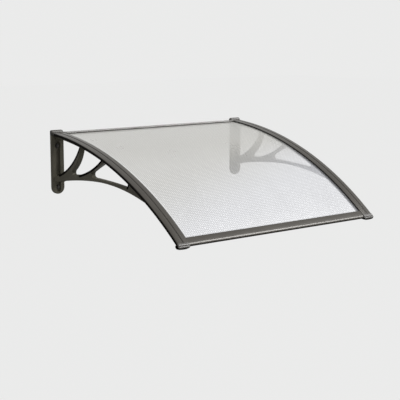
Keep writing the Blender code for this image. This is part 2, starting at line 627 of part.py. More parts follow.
def build_bars():
    half = RAIL_CENTRE_X - RAIL_HALF - GAP
    strip_half = RAIL_CENTRE_X - BASE_INSIDE - GAP
    hole = CLAMP_SCREW_RADIUS + HOLE_CLEARANCE
    front = add_object("front_bar", side_prism(bar_outline(front_bar_section()), -half, half), "bar")
    rear_half = RAIL_CENTRE_X - HEAD_INSIDE - GAP
    rear = add_object("rear_bar", side_prism(bar_outline(rear_bar_section()), -rear_half, rear_half), "bar")
    for bar, s in ((front, FRONT_BAR_S + BAR_SCREW_T), (rear, REAR_SCREW_S)):
        cuts = [screw_hole(1, RAIL_CENTRE_X - x, s, TOP_WALL, BOSS_BOTTOM + 2, hole) for x in BAR_SCREW_X]
        boolean(bar, add_object("bar_cutter", merged(cuts), None), "DIFFERENCE")
    for name, s_from, s_to, s_screw in (
        ("front_strip", FRONT_BAR_S + STRIP_FROM, FRONT_BAR_S + STRIP_TO, FRONT_BAR_S + BAR_SCREW_T),
        ("rear_strip", REAR_BAR_BACK_S + 4.0, REAR_BAR_FRONT_S, REAR_SCREW_S),
    ):
        section = [(s_from, SHEET_BOTTOM + GAP), (s_to, SHEET_BOTTOM + GAP), (s_to, BASE_BOTTOM - 1.0)]
        section += [(s_to - 1.0, BASE_BOTTOM), (s_from + 1.0, BASE_BOTTOM), (s_from, BASE_BOTTOM - 1.0)]
        strip = add_object(name, side_prism(bar_outline(section), -strip_half, strip_half), "bar")
        cuts = []
        for x in BAR_SCREW_X:
            cuts.append(screw_hole(1, RAIL_CENTRE_X - x, s_screw, SHEET_BOTTOM - 1, BASE_BOTTOM + 2, hole))
        boolean(strip, add_object("strip_cutter", merged(cuts), None), "DIFFERENCE")
        for index, x in enumerate(BAR_SCREW_X):
            seat = BASE_BOTTOM + GAP
            origin = at_rail(1, RAIL_CENTRE_X - x, s_screw, seat)
            screw_name = "%s_screw_%d" % (name.split("_")[0], index + 1)
            pan_screw(screw_name, origin, slope_axis(s_screw), seat - TOP_WALL - 0.5)
    for name, reach, s_from in (
        ("front_seal", half, FRONT_BAR_S),
        ("rear_seal", rear_half, REAR_BAR_FRONT_S - BAR_FOOT),
    ):
        s_to, top = s_from + BAR_FOOT, TOP_SEAL_TOP + GAP
        section = [(s_from, top), (s_to, top), (s_to, BOSS_BOTTOM), (s_from, BOSS_BOTTOM)]
        add_object(name, side_prism(bar_outline(section), -reach + 1.0, reach - 1.0), "rubber")
    front_face = [arc_point(REAR_BAR_BACK_S, d) for d in (WALL_SEAL_BOTTOM, WALL_SEAL_TOP)]
    section = [(0.0, front_face[1][1]), (0.0, front_face[0][1])] + front_face
    add_object("wall_seal", side_prism(section, -rear_half, rear_half), "rubber")


# Head cap: a hood on top of the wall plate, a neck over the sheet and two tongues inside the clamp profile
def build_head_cap(side, word):
    low = PLATE_TOP_Z + GAP
    top = HEAD_TOP_Z
    outline = [(-HEAD_OUTSIDE, low), (-HEAD_OUTSIDE, top - HEAD_OUTER_BEVEL)]
    outline += [(-HEAD_OUTSIDE + HEAD_OUTER_BEVEL, top), (HEAD_INSIDE - HEAD_INNER_BEVEL, top)]
    outline += [(HEAD_INSIDE, top - HEAD_INNER_BEVEL), (HEAD_INSIDE, low)]
    rings = []
    for y, inset in ((0.0, 0.0), (1.2 - HEAD_DEPTH, 0.0), (-HEAD_DEPTH, 1.2)):
        rings.append([(side * (RAIL_CENTRE_X - u), y, z - inset if z > low else z) for u, z in outline])
    cap = add_object("head_cap_" + word, loft(rings), "cap")
    edge = SHEET_HALF_WIDTH - RAIL_CENTRE_X + GAP
    neck = [(-NECK_OUTSIDE, LEG_BOTTOM), (-NECK_OUTSIDE, NECK_TOP + 1.0), (-NECK_OUTSIDE + 1.0, NECK_TOP)]
    neck += [(HEAD_INSIDE, NECK_TOP), (HEAD_INSIDE, BOSS_BOTTOM), (-edge, BOSS_BOTTOM), (-edge, LEG_BOTTOM)]
    low = RAIL_HALF + GAP
    finger = [(low, NECK_TOP), (HEAD_INSIDE, NECK_TOP), (HEAD_INSIDE, BOSS_BOTTOM), (low, BOSS_BOTTOM)]
    neck_end = CLAMP_START_S - GAP
    neck_body = rail_sweep(neck, side, HEAD_DEPTH - 2.0, neck_end, 1)
    finger_body = rail_sweep(finger, side, neck_end - 2.0, REAR_BAR_FRONT_S, 1)
    boolean(cap, add_object("neck_tool", neck_body, None), "UNION")
    boolean(cap, add_object("finger_tool", finger_body, None), "UNION")
    add_tongues(cap, side, neck_end - 4.0, neck_end + TONGUE_LENGTH)


def add_tongues(cap, side, s_from, s_to):
    """Two tongues that push into the clamp profile's chambers and hold the cap."""
    for sign in (-1, 1):
        low, high = sorted((sign * TONGUE_FROM, sign * TONGUE_TO))
        section = [(low, TOP_WALL + GAP), (high, TOP_WALL + GAP), (high, BOSS_BOTTOM), (low, BOSS_BOTTOM)]
        tongue = add_object("tongue_tool", rail_sweep(section, side, s_from, s_to, 2), None)
        boolean(cap, tongue, "UNION")
    cap.data.shade_smooth()
    cap.data.set_sharp_from_angle(angle=math.radians(32))


# Nose cap: closes the rail's lower end, with a small nose above and a rounded lip below
def nose_profile():
    """Side view of the cap: rail end, nose, lip, bottom and an upright back."""
    end_s = RAIL_END_S + GAP
    nose_y, nose_z = arc_point(FRONT_BAR_S + BAR_WIDTH - NOSE_RADIUS + CAP_PROUD, CAP_NOSE_RADIUS)
    slope = START_ANGLE + (FRONT_BAR_S + BAR_WIDTH) / ARC_RADIUS
    points = [arc_point(end_s, BASE_BOTTOM), arc_point(end_s, 0.0)]
    for a in steps(slope, math.radians(130), 6):
        points.append((nose_y - CAP_NOSE_RADIUS * math.sin(a), nose_z + CAP_NOSE_RADIUS * math.cos(a)))
    lip_y, lip_z = nose_y + CAP_LIP_BACK, nose_z - CAP_LIP_DROP
    for a in steps(math.radians(42), math.radians(180), 9):
        points.append((lip_y - CAP_LIP_RADIUS * math.sin(a), lip_z + CAP_LIP_RADIUS * math.cos(a)))
    back_y, bottom_z = points[0][0], lip_z - CAP_LIP_RADIUS
    return points + [(back_y - 2.0, bottom_z), (back_y, bottom_z + 2.0)]


def build_nose_cap(side, word):
    """The side profile, cut to a plan with rounded front corners and to an arched underside."""
    profile = nose_profile()
    x0 = side * RAIL_CENTRE_X
    outer = RAIL_HALF + CAP_SIDE_PROUD
    reach = outer + 1.0
    cap = add_object("nose_cap_" + word, side_prism(profile, x0 - reach, x0 + reach), "cap")
    front_y, back_y = min(y for y, z in profile), max(y for y, z in profile) + 5.0
    low_z, high_z = min(z for y, z in profile), max(z for y, z in profile) + 5.0
    plan = [(RAIL_HALF, back_y), (-outer, back_y)]
    for u, radius, a_from, a_to, count in (
        (-outer, CAP_OUTER_CORNER, 180, 270, 6),
        (RAIL_HALF, CAP_INNER_CORNER, 270, 360, 3),
    ):
        centre = u + radius if u < 0 else u - radius
        plan += corner(centre, front_y + radius, radius, a_from, a_to, count)
    tool = loft([[(side * (RAIL_CENTRE_X - u), y, z) for u, y in plan] for z in (low_z - 5.0, high_z)])
    boolean(cap, add_object("plan_tool", tool, None), "INTERSECT")
    reach = outer + 2.0
    front = [(reach, high_z), (-reach, high_z)]
    front += arc_through((-reach, low_z + CAP_BOTTOM_ARC), (0.0, low_z), (reach, low_z + CAP_BOTTOM_ARC), 8)
    tool = loft([[(side * (RAIL_CENTRE_X - u), y, z) for u, z in front] for y in (front_y - 5.0, back_y)])
    boolean(cap, add_object("front_tool", tool, None), "INTERSECT")
    add_tongues(cap, side, RAIL_END_S - TONGUE_LENGTH, RAIL_END_S + 4.0)


build_sheet()
for side, word in ((-1, "left"), (1, "right")):
    build_bracket(side, word)
    build_rail(side, word)
    build_head_cap(side, word)
    build_nose_cap(side, word)
build_bars()
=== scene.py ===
# %% [markdown]
# # A door canopy: a curved polycarbonate sheet in a bronze frame on two brackets
#
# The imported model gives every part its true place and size. This lesson dresses it: it makes the
# pieces whose surface has finer detail than the solids, and gives each one a finish of its own.

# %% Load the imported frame
import math
import bpy
import bmesh
from mathutils import Matrix, Vector


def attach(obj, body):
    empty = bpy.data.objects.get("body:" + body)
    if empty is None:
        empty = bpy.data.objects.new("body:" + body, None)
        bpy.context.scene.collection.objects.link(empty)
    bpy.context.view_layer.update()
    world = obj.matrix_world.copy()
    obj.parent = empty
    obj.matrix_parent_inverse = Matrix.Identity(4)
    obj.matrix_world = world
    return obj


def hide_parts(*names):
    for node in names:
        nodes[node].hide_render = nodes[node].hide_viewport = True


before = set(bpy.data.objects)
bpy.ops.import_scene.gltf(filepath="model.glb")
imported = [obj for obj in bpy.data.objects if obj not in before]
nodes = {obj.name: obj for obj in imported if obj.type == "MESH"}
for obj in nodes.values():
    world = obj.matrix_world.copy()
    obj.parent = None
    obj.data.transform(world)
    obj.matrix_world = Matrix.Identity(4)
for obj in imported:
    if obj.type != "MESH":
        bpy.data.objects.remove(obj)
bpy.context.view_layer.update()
scene = bpy.context.scene
print("packed nodes:", len(nodes))

# %% [markdown]
# ## The arc
#
# Both rails, the sheet and every seal follow one circle, seen from the side. A place is given by x
# from left to right, s along the arc from the back, and the depth below the rails' top face. The
# same numbers steer the grain of the finishes. Sizes with MM are metres, others millimetres.

# %% Sizes of the arc and of what follows it
MM = 0.001
ARC_RADIUS = 1412.5 * MM
ARC_CENTRE_Y = 100.5 * MM
TOP_AT_WALL = 6.0 * MM
START_ANGLE = math.asin(ARC_CENTRE_Y / ARC_RADIUS)
ARC_CENTRE_Z = TOP_AT_WALL - ARC_RADIUS * math.cos(START_ANGLE)
RAIL_X = 471.5 * MM
RAIL_END = 886.4
SIDES = ((-1, "left"), (1, "right"))


def arc_point(x, s, depth):
    angle = START_ANGLE + s / ARC_RADIUS
    radius = ARC_RADIUS - depth
    y = ARC_CENTRE_Y - radius * math.sin(angle)
    return Vector((x, y, ARC_CENTRE_Z + radius * math.cos(angle)))


print("front end of the rails:", [round(v, 4) for v in arc_point(RAIL_X, RAIL_END * MM, 0)])

# %% [markdown]
# ## Camera
#
# The viewer stands to the left, a little above the canopy and four and a half metres away, so a
# long lens keeps straight edges nearly parallel.

# %% Camera
CAMERA_AZIMUTH = math.radians(-39.44)
CAMERA_ELEVATION = math.radians(8.83)
FOCAL_PIXELS = 1099.76
PICTURE_PIXELS = 400
SENSOR_WIDTH = 36


def new_object(name, data):
    made = bpy.data.objects.new(name, data)
    scene.collection.objects.link(made)
    return made


camera_data = bpy.data.cameras.new("camera")
camera_data.sensor_width = SENSOR_WIDTH
camera_data.lens = SENSOR_WIDTH * FOCAL_PIXELS / PICTURE_PIXELS
camera = new_object("camera", camera_data)
scene.camera = camera
level = math.cos(CAMERA_ELEVATION)
back = Vector((math.sin(CAMERA_AZIMUTH) * level, -math.cos(CAMERA_AZIMUTH) * level,
               math.sin(CAMERA_ELEVATION)))
camera.rotation_mode = "QUATERNION"
roll = Matrix.Rotation(math.radians(-0.094), 4, "Z").to_quaternion()
camera.rotation_quaternion = (-back).to_track_quat("-Z", "Y") @ roll
camera.location = (-2.80396, -3.73741, 0.40929)
print("lens: %.1f mm" % camera_data.lens)

# %% [markdown]
# ## Small helpers for node trees
#
# Finishes and repeated shapes are both made of nodes. With a helper that adds a node and joins its
# inputs, each tree below reads as a short list of what it does.


# %% Helpers for nodes
def add(tree, kind, inputs=None, **settings):
    """inputs gives a socket's name or number, and a value or the socket that feeds it."""
    made = tree.nodes.new(kind)
    for key, value in settings.items():
        setattr(made, key, value)
    for key, value in (inputs or {}).items():
        socket = made.inputs[key]
        if isinstance(value, bpy.types.NodeSocket):
            tree.links.new(value, socket)
        else:
            socket.default_value = value
    return made


def feed(tree, kind, inputs=None, **settings):
    """Adds a node and gives its first output, to feed the next one."""
    return add(tree, kind, inputs, **settings).outputs[0]


def maths(tree, operation, *values):
    return feed(tree, "ShaderNodeMath", dict(enumerate(values)), operation=operation)


def xyz(tree, *values):
    return feed(tree, "ShaderNodeCombineXYZ", dict(enumerate(values)))


def split(tree, vector):
    return add(tree, "ShaderNodeSeparateXYZ", {0: vector}).outputs


def rising(tree, value, start, end, low=0.0, high=1.0, way="SMOOTHSTEP"):
    """Goes from low to high while the value grows from start to end."""
    return feed(tree, "ShaderNodeMapRange", {
        "Value": value, "From Min": start, "From Max": end, "To Min": low, "To Max": high,
    }, interpolation_type=way)


# %% [markdown]
# ## Studio
#
# A pale floor two metres below, as under a real canopy, and soft light: an even sky and one large
# lamp in front, to the right and above, as the bright upper sides of the frame show. What the
# camera sees behind the object, also mirrored or through the sheet, is a plain pale grey.

# %% Floor and sky
BACKGROUND = (0.828, 0.830, 0.826, 1.0)
SKY_FROM = (0.45, -0.45, 0.77)
FLOOR_GLOW = 1.05
FLOOR_GLOW_SHARE = 0.93


def principled(name, colour, roughness, metallic=0.0):
    made = bpy.data.materials.new(name)
    made.use_nodes = True
    shader = made.node_tree.nodes["Principled BSDF"]
    shader.inputs["Base Color"].default_value = (*colour, 1.0)
    shader.inputs["Roughness"].default_value = roughness
    shader.inputs["Metallic"].default_value = metallic
    print("finish:", name)
    return made, made.node_tree, shader


def seen_directly(tree):
    """1 for rays of the camera, of mirrors and through the sheet."""
    rays = add(tree, "ShaderNodeLightPath").outputs
    either = maths(tree, "MAXIMUM", rays["Is Camera Ray"], rays["Is Glossy Ray"])
    return maths(tree, "MAXIMUM", either, rays["Is Transmission Ray"])


def mixed_surface(tree, end, share, one, other):
    """Makes two shaders the surface. share says how much of the other shows."""
    mix = feed(tree, "ShaderNodeMixShader", {0: share, 1: one.outputs[0], 2: other.outputs[0]})
    tree.links.new(mix, tree.nodes[end].inputs["Surface"])


world = bpy.data.worlds.new("sky")
scene.world = world
world.use_nodes = True
tree = world.node_tree
direction = add(tree, "ShaderNodeTexCoord").outputs["Generated"]
lit = add(tree, "ShaderNodeVectorMath", {0: direction, 1: SKY_FROM}, operation="DOT_PRODUCT")
strength = rising(tree, lit.outputs["Value"], start=-0.5, end=0.9, low=0.22, high=0.85)
sky = add(tree, "ShaderNodeBackground", {"Color": (1, 1, 1, 1), "Strength": strength})
plain = add(tree, "ShaderNodeBackground", {"Color": BACKGROUND})
mixed_surface(tree, "World Output", seen_directly(tree), sky, plain)

floor_look, tree, paint = principled("pale_floor", (0.2, 0.2, 0.2), roughness=0.9)
glow = add(tree, "ShaderNodeEmission", {"Color": BACKGROUND, "Strength": FLOOR_GLOW})
share = maths(tree, "MULTIPLY", seen_directly(tree), FLOOR_GLOW_SHARE)
mixed_surface(tree, "Material Output", share, paint, glow)
bpy.ops.mesh.primitive_plane_add(size=80, location=(0, 0, -2.1))
floor = bpy.context.object
floor.name = "floor"
floor.data.materials.append(floor_look)

# %% Lamp
LAMP_PLACE = Vector((8.4, -5.8, 8.6))
LAMP_TARGET = Vector((0, -0.4, -0.1))

lamp_data = bpy.data.lights.new("softbox", "AREA")
lamp_data.shape = "DISK"
lamp_data.size = 5.5
lamp_data.energy = 1850
lamp = new_object("softbox", lamp_data)
lamp.location = LAMP_PLACE
lamp.visible_transmission = False
lamp.rotation_euler = (LAMP_TARGET - LAMP_PLACE).to_track_quat("-Z", "Y").to_euler()
scene.view_settings.view_transform = "Standard"
print("lamp distance: %.2f m" % (LAMP_TARGET - LAMP_PLACE).length)

# %% [markdown]
# ## Finishes
#
# The rails and bars are extruded aluminium in satin bronze. The die and the brush leave fine lines
# along a profile, so the grain is a noise that is stretched along the arc. Plain object coordinates
# would lay straight streaks across the bend, and a UV map would have to be made for each profile.
# The arc's own coordinates, worked out from the object coordinates, suit every piece at once.

# %% Coordinates along the arc, and what a noise does to a finish
NOISE_RANGE = (0.25, 0.75)


def object_place(tree):
    return add(tree, "ShaderNodeTexCoord").outputs["Object"]


def arc_coordinates(tree):
    """Across, along the arc and up, in metres, from the object coordinates."""
    parts = split(tree, object_place(tree))
    forward = maths(tree, "SUBTRACT", ARC_CENTRE_Y, parts["Y"])
    upward = maths(tree, "SUBTRACT", parts["Z"], ARC_CENTRE_Z)
    square = maths(tree, "MULTIPLY_ADD", upward, upward, maths(tree, "MULTIPLY", forward, forward))
    height = maths(tree, "SUBTRACT", maths(tree, "SQRT", square), ARC_RADIUS)
    angle = maths(tree, "SUBTRACT", maths(tree, "ARCTAN2", forward, upward), START_ANGLE)
    return parts["X"], maths(tree, "MULTIPLY", angle, ARC_RADIUS), height


def noise(tree, place, grains, detail=3.0):
    """A stretched noise. grains says how many of them lie in a metre, each way."""
    stretched = feed(tree, "ShaderNodeVectorMath", {0: place, 1: grains}, operation="MULTIPLY")
    inputs = {"Vector": stretched, "Scale": 1.0, "Detail": detail}
    return add(tree, "ShaderNodeTexNoise", inputs).outputs["Fac"]


def spread(tree, value, low, high):
    return rising(tree, value, *NOISE_RANGE, low, high, "LINEAR")


def blended(tree, factor, low, high):
    inputs = {0: factor, 6: (*low, 1.0), 7: (*high, 1.0)}
    return add(tree, "ShaderNodeMix", inputs, data_type="RGBA").outputs[2]


def shaded(tree, shader, colour, value):
    """Makes the base colour a colour times a value that varies."""
    tint = feed(tree, "ShaderNodeVectorMath", {0: colour, "Scale": value}, operation="SCALE")
    tree.links.new(tint, shader.inputs["Base Color"])


def glossy(tree, shader, shine, varied):
    """Varies the gloss. The socket has its plain value first, because the export drops the link."""
    socket = shader.inputs["Specular IOR Level"]
    socket.default_value = shine
    tree.links.new(varied, socket)


def bumped(tree, shader, height, depth):
    """Raises the surface by a height from 0 to 1, times a depth in metres."""
    made = feed(tree, "ShaderNodeBump", {"Height": height, "Distance": depth})
    tree.links.new(made, shader.inputs["Normal"])


# %% Bronze profiles, with the grain along the rail or along the bar
BRONZE = (0.054, 0.049, 0.042)
# Painted shade: the nearly black colour of the profiles' sides and of the bars' lower noses.
BRONZE_SHADE = (0.011, 0.010, 0.009)
SIDE_ROUGH = 0.55


def bronze(name, along_arc, shine, side_from, side_to):
    """Brushed bronze. Between two heights over the top face the brushed crown gives way to the
    sides, which are painted nearly black and matt: painted shade where the profile turns from the
    lamp."""
    look, tree, shader = principled(name, BRONZE, roughness=0.28, metallic=0.15)
    across, along, height = arc_coordinates(tree)
    place = xyz(tree, *((across, along) if along_arc else (along, across)), height)
    lines = noise(tree, place, grains=(1500, 9, 1500))
    cloud = noise(tree, place, grains=(60, 14, 60), detail=2.0)
    crown = rising(tree, height, side_from * MM, side_to * MM)
    shades = spread(tree, lines, low=0.86, high=1.14), spread(tree, cloud, low=0.9, high=1.1)
    # Below the crown the colour turns nearly black: painted shade.
    colour = blended(tree, crown, BRONZE_SHADE, BRONZE)
    shaded(tree, shader, colour, maths(tree, "MULTIPLY", *shades))
    brushed = spread(tree, lines, low=0.275, high=0.295)
    rough = feed(tree, "ShaderNodeMix", {0: crown, 2: SIDE_ROUGH, 3: brushed})
    tree.links.new(rough, shader.inputs["Roughness"])
    glossy(tree, shader, shine, maths(tree, "MULTIPLY", crown, shine))
    bumped(tree, shader, lines, depth=0.002 * MM)
    return look


# The rails' sides and the lower faces of the front and rear bar get painted shade.
rail_bronze = bronze("bronze_rail", True, shine=0.22, side_from=-2.8, side_to=-0.9)
bar_bronze = bronze("bronze_bar", False, shine=0.22, side_from=-5.8, side_to=-4.4)
rear_bronze = bronze("bronze_rear_bar", False, shine=0.9, side_from=-9.5, side_to=-4.5)

# %% [markdown]
# The brackets and caps are injection moulded. Their skin has a fine spark-eroded grain and, where
# the melt has flowed, a faint cloudiness. Some faces are painted black as shade: the brackets'
# faces that look up or back, the hoods' outer sides, and the nose caps' ends and undersides. A
# face's normal or place tells which ones, so nothing has to be painted by hand.

# %% Moulded bronze-coloured plastic
MOULDED = (0.104, 0.097, 0.075)
CAP = (0.060, 0.056, 0.050)
# Near black, for painted shade on moulded faces.
SHADE_BLACK = (0.010, 0.009, 0.008)
ROUGH_CHANGE = 0.02
# How far out from the rail's middle a hood's side is painted black as shade.
HOOD_SIDE_FROM = 26.2 * MM
# Heights below which a nose cap's underside is painted black as shade.
NOSE_SHADE_HEIGHTS = (-340.5 * MM, -337.5 * MM)


def moulded(name, colour, rough, shine, shade_mask):
    """The last argument is a function that gives, from the tree, how far a place is painted black
    as shade.
    """
    look, tree, shader = principled(name, colour, rough)
    place = object_place(tree)
    grain = noise(tree, place, grains=(1400, 1400, 1400), detail=2.0)
    cloud = noise(tree, place, grains=(22, 22, 22))
    # Painted shade: the colour goes to near black where the mask is 1, and the gloss fades with it.
    painted_shade = shade_mask(tree, split(tree, place))
    painted_tone = blended(tree, painted_shade, colour, SHADE_BLACK)
    shaded(tree, shader, painted_tone, spread(tree, cloud, low=0.88, high=1.12))
    varied = spread(tree, grain, rough - ROUGH_CHANGE, rough + ROUGH_CHANGE)
    tree.links.new(varied, shader.inputs["Roughness"])
    glossy(tree, shader, shine, maths(tree, "MULTIPLY_ADD", painted_shade, -shine, shine))
    bumped(tree, shader, grain, depth=0.001 * MM)
    return look


def facing(tree):
    return split(tree, add(tree, "ShaderNodeNewGeometry").outputs["True Normal"])


def towards_wall(tree, parts):
    """The faces of a bracket that look up or back. They are painted black as shade."""
    looks = facing(tree)
    wallward = rising(tree, looks["Y"], start=0.03, end=0.12)
    return maths(tree, "MULTIPLY", wallward, rising(tree, looks["Z"], start=-0.25, end=-0.12))


def hood_cheek(tree, parts):
    # The outer side of a hood is painted black as shade.
    outward = maths(tree, "SUBTRACT", maths(tree, "ABSOLUTE", parts["X"]), RAIL_X)
    return rising(tree, outward, HOOD_SIDE_FROM, HOOD_SIDE_FROM + MM)


def nose_cheek(tree, parts):
    """Both ends and the underside of a nose cap, which are painted black as shade."""
    sideways = maths(tree, "ABSOLUTE", facing(tree)["X"])
    under = rising(tree, parts["Z"], *NOSE_SHADE_HEIGHTS, 1.0, 0.0)
    return maths(tree, "MAXIMUM", rising(tree, sideways, start=0.45, end=0.75), under)


bracket_look = moulded("moulded_bracket", MOULDED, rough=0.5, shine=0.09, shade_mask=towards_wall)
# A near-black look for the bead along the brackets' rims: painted shade.
shade_look = moulded("moulded_painted_shade", SHADE_BLACK, rough=0.6, shine=0.0, shade_mask=towards_wall)
nose_look = moulded("moulded_nose", CAP, rough=0.33, shine=0.28, shade_mask=nose_cheek)
hood_look = moulded("moulded_hood", CAP, rough=0.36, shine=0.28, shade_mask=hood_cheek)

# %% [markdown]
# The seals are black rubber with a dull, porous skin, and the screws are browned steel with a
# patchy patina. In both, one noise steers the colour and the relief or gloss together.

# %% Rubber and screws
RUBBER = (0.014, 0.014, 0.014)
rubber_look, tree, shader = principled("black_rubber", RUBBER, roughness=0.75)
pores = noise(tree, xyz(tree, *arc_coordinates(tree)), grains=(700, 700, 700))
shaded(tree, shader, RUBBER, spread(tree, pores, low=0.7, high=1.5))
bumped(tree, shader, pores, depth=0.08 * MM)

STEEL = (0.035, 0.032, 0.029)
steel_look, tree, shader = principled("browned_steel", STEEL, roughness=0.32, metallic=0.4)
patina = noise(tree, object_place(tree), grains=(500, 500, 500))
shaded(tree, shader, STEEL, spread(tree, patina, low=0.7, high=1.3))
tree.links.new(spread(tree, patina, low=0.26, high=0.42), shader.inputs["Roughness"])

# %% [markdown]
# ## Polycarbonate
#
# The sheet is clear plastic with an embossed upper side. Part of the light passes straight, part
# is bent and blurs what lies behind, and the rest is scattered. So each face is a mix of a clear
# film and of rough glass with some plain scattering. The film also lets the lamp through, which
# glass alone would not. The embossing carries an attribute, 0 in the valleys and 1 on the tips: the
# tips are painted lighter and the valleys darker, as painted highlight and shade of its small
# faces.
# Towards the back and the left the sheet is painted darker, warmer and greyer, as the shade of a
# shadow behind it, and towards the front lighter and bluer, as a painted reflection. Along the
# rails the clamping has pressed the embossing flat, so the profile below shows through.

# %% Two faces of the sheet
# Painted colours of the sheet: darker and warmer at the back as painted shade, lighter and bluer at
# the front as painted reflection.
WALL_SHADE_TONE = (0.365, 0.36, 0.338)
FRONT_REFLECTION_TONE = (0.485, 0.49, 0.515)
SHADE_SLANT = 0.35
FILM_RANGE = (0.25, 0.55)
LAMP_SHARE = 0.6
MARGIN_CLEAR = 0.34
HAZE_ROUGH = 0.15


def clear_plastic(name, film_at_wall, film, glassy, roughness, relief):
    """film is the share of light that passes straight, glassy the share of the rest that is bent,
    and relief says how much lighter the tips and darker the valleys are painted: painted highlight
    and shade of the embossing."""
    look, tree, shader = principled(name, FRONT_REFLECTION_TONE, roughness)
    shader.inputs["IOR"].default_value = 1.58
    shader.inputs["Transmission Weight"].default_value = glassy
    across, along, height = arc_coordinates(tree)
    haze = noise(tree, xyz(tree, across, along, height), grains=(7, 4, 7))
    varied = spread(tree, haze, roughness * (1 - HAZE_ROUGH), roughness * (1 + HAZE_ROUGH))
    tree.links.new(varied, shader.inputs["Roughness"])
    # Painted shade and reflection: darker towards the back and the left, lighter and bluer towards
    # the front.
    slanted = maths(tree, "MULTIPLY_ADD", across, SHADE_SLANT, along)
    painted_tone = blended(tree, rising(tree, slanted, start=0.42, end=0.75), WALL_SHADE_TONE, FRONT_REFLECTION_TONE)
    # Painted highlight on the tips and painted shade in the valleys.
    tip = add(tree, "ShaderNodeAttribute", attribute_name="tip").outputs["Fac"]
    embossing_light = maths(tree, "MULTIPLY_ADD", tip, 3 * relief, 1 - relief)
    cloudy = spread(tree, haze, low=0.97, high=1.03)
    shaded(tree, shader, painted_tone, maths(tree, "MULTIPLY", embossing_light, cloudy))
    shadow = add(tree, "ShaderNodeLightPath").outputs["Is Shadow Ray"]
    margin = rising(tree, maths(tree, "ABSOLUTE", across), start=0.430, end=0.437)
    share = rising(tree, along, *FILM_RANGE, film_at_wall, film)
    clear = maths(tree, "MULTIPLY_ADD", margin, MARGIN_CLEAR, share)
    clear = maths(tree, "MAXIMUM", clear, maths(tree, "MULTIPLY", shadow, LAMP_SHARE))
    through = add(tree, "ShaderNodeBsdfTransparent", {"Color": (0.98, 0.98, 0.98, 1)})
    mixed_surface(tree, "Material Output", clear, shader, through)
    return look


embossed_look = clear_plastic("polycarbonate_embossed", film_at_wall=0.12, film=0.38, glassy=0.10,
                              roughness=0.30, relief=0.42)
smooth_look = clear_plastic("polycarbonate_smooth", film_at_wall=0.90, film=0.90, glassy=0.8,
                            roughness=0.10, relief=0.0)

# %% [markdown]
# ## Geometry Nodes
#
# Everything that follows the arc is first laid out flat, as it leaves the factory, and then bent.
# One small tree does the bending for all of them.


# %% A tree with named inputs, and how its result is kept
def geometry_tree(name, inputs):
    """inputs gives each input's name and its kind of socket."""
    tree = bpy.data.node_groups.new(name, "GeometryNodeTree")
    for label, kind in inputs.items():
        tree.interface.new_socket(label, in_out="INPUT", socket_type="NodeSocket" + kind)
    tree.interface.new_socket("Geometry", in_out="OUTPUT", socket_type="NodeSocketGeometry")
    start = tree.nodes.new("NodeGroupInput").outputs
    end = tree.nodes.new("NodeGroupOutput").inputs["Geometry"]
    return tree, start, end


def baked(piece):
    """Puts the plain mesh that an object's modifiers make in their place."""
    depsgraph = bpy.context.evaluated_depsgraph_get()
    mesh = bpy.data.meshes.new_from_object(piece.evaluated_get(depsgraph))
    piece.modifiers.clear()
    piece.data = mesh
    return piece


def run_tree(name, tree, values):
    holder = new_object(name, bpy.data.meshes.new(name))
    modifier = holder.modifiers.new("tree", "NODES")
    modifier.node_group = tree
    for item in tree.interface.items_tree:
        if item.in_out == "INPUT" and item.name in values:
            modifier[item.identifier] = values[item.name]
    return baked(holder)


def keep(piece, slot, *replaced):
    """Ties a finished piece to the canopy and to the solids that it stands for."""
    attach(piece, "root")
    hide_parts(*replaced)
    print(piece.name, "faces:", len(piece.data.polygons))


# %% The bend: x stays, y runs along the arc towards the viewer, z is the height over the top face
bend, bend_in, bend_out = geometry_tree("bend_to_arc", {"Geometry": "Geometry"})
flat = split(bend, feed(bend, "GeometryNodeInputPosition"))
turn = maths(bend, "MULTIPLY_ADD", flat["Y"], -1 / ARC_RADIUS, START_ANGLE)
reach = maths(bend, "ADD", flat["Z"], ARC_RADIUS)
forward = maths(bend, "MULTIPLY", reach, maths(bend, "SINE", turn))
bent_z = maths(bend, "MULTIPLY_ADD", reach, maths(bend, "COSINE", turn), ARC_CENTRE_Z)
bent = xyz(bend, flat["X"], maths(bend, "SUBTRACT", ARC_CENTRE_Y, forward), bent_z)
moved = {"Geometry": bend_in["Geometry"], "Position": bent}
bend.links.new(feed(bend, "GeometryNodeSetPosition", moved), bend_out)


def bent_geometry(tree, geometry):
    return feed(tree, "GeometryNodeGroup", {"Geometry": geometry}, node_tree=bend)


def geometry_of(tree, source):
    return add(tree, "GeometryNodeObjectInfo", {"Object": source}).outputs["Geometry"]


def realized(tree, geometry):
    return feed(tree, "GeometryNodeRealizeInstances", {"Geometry": geometry})


def coated(tree, geometry, finish):
    return feed(tree, "GeometryNodeSetMaterial", {"Geometry": geometry, "Material": finish})


print("a flat metre turns by %.1f degrees" % math.degrees(1 / ARC_RADIUS))

# %% [markdown]
# ## Extruded profiles
#
# Rails and bars are pressed through a die, so a profile is one outline that is swept along a line,
# and the bend comes last, as on the real roller. The rails' crown is slightly domed, with a groove
# in its middle and soft shoulders, which catch the light. The front bar lies a little lower than
# the rails, and its nose turns down in a wide curve.

# %% Sweep
SMOOTH_ANGLE = math.radians(32)

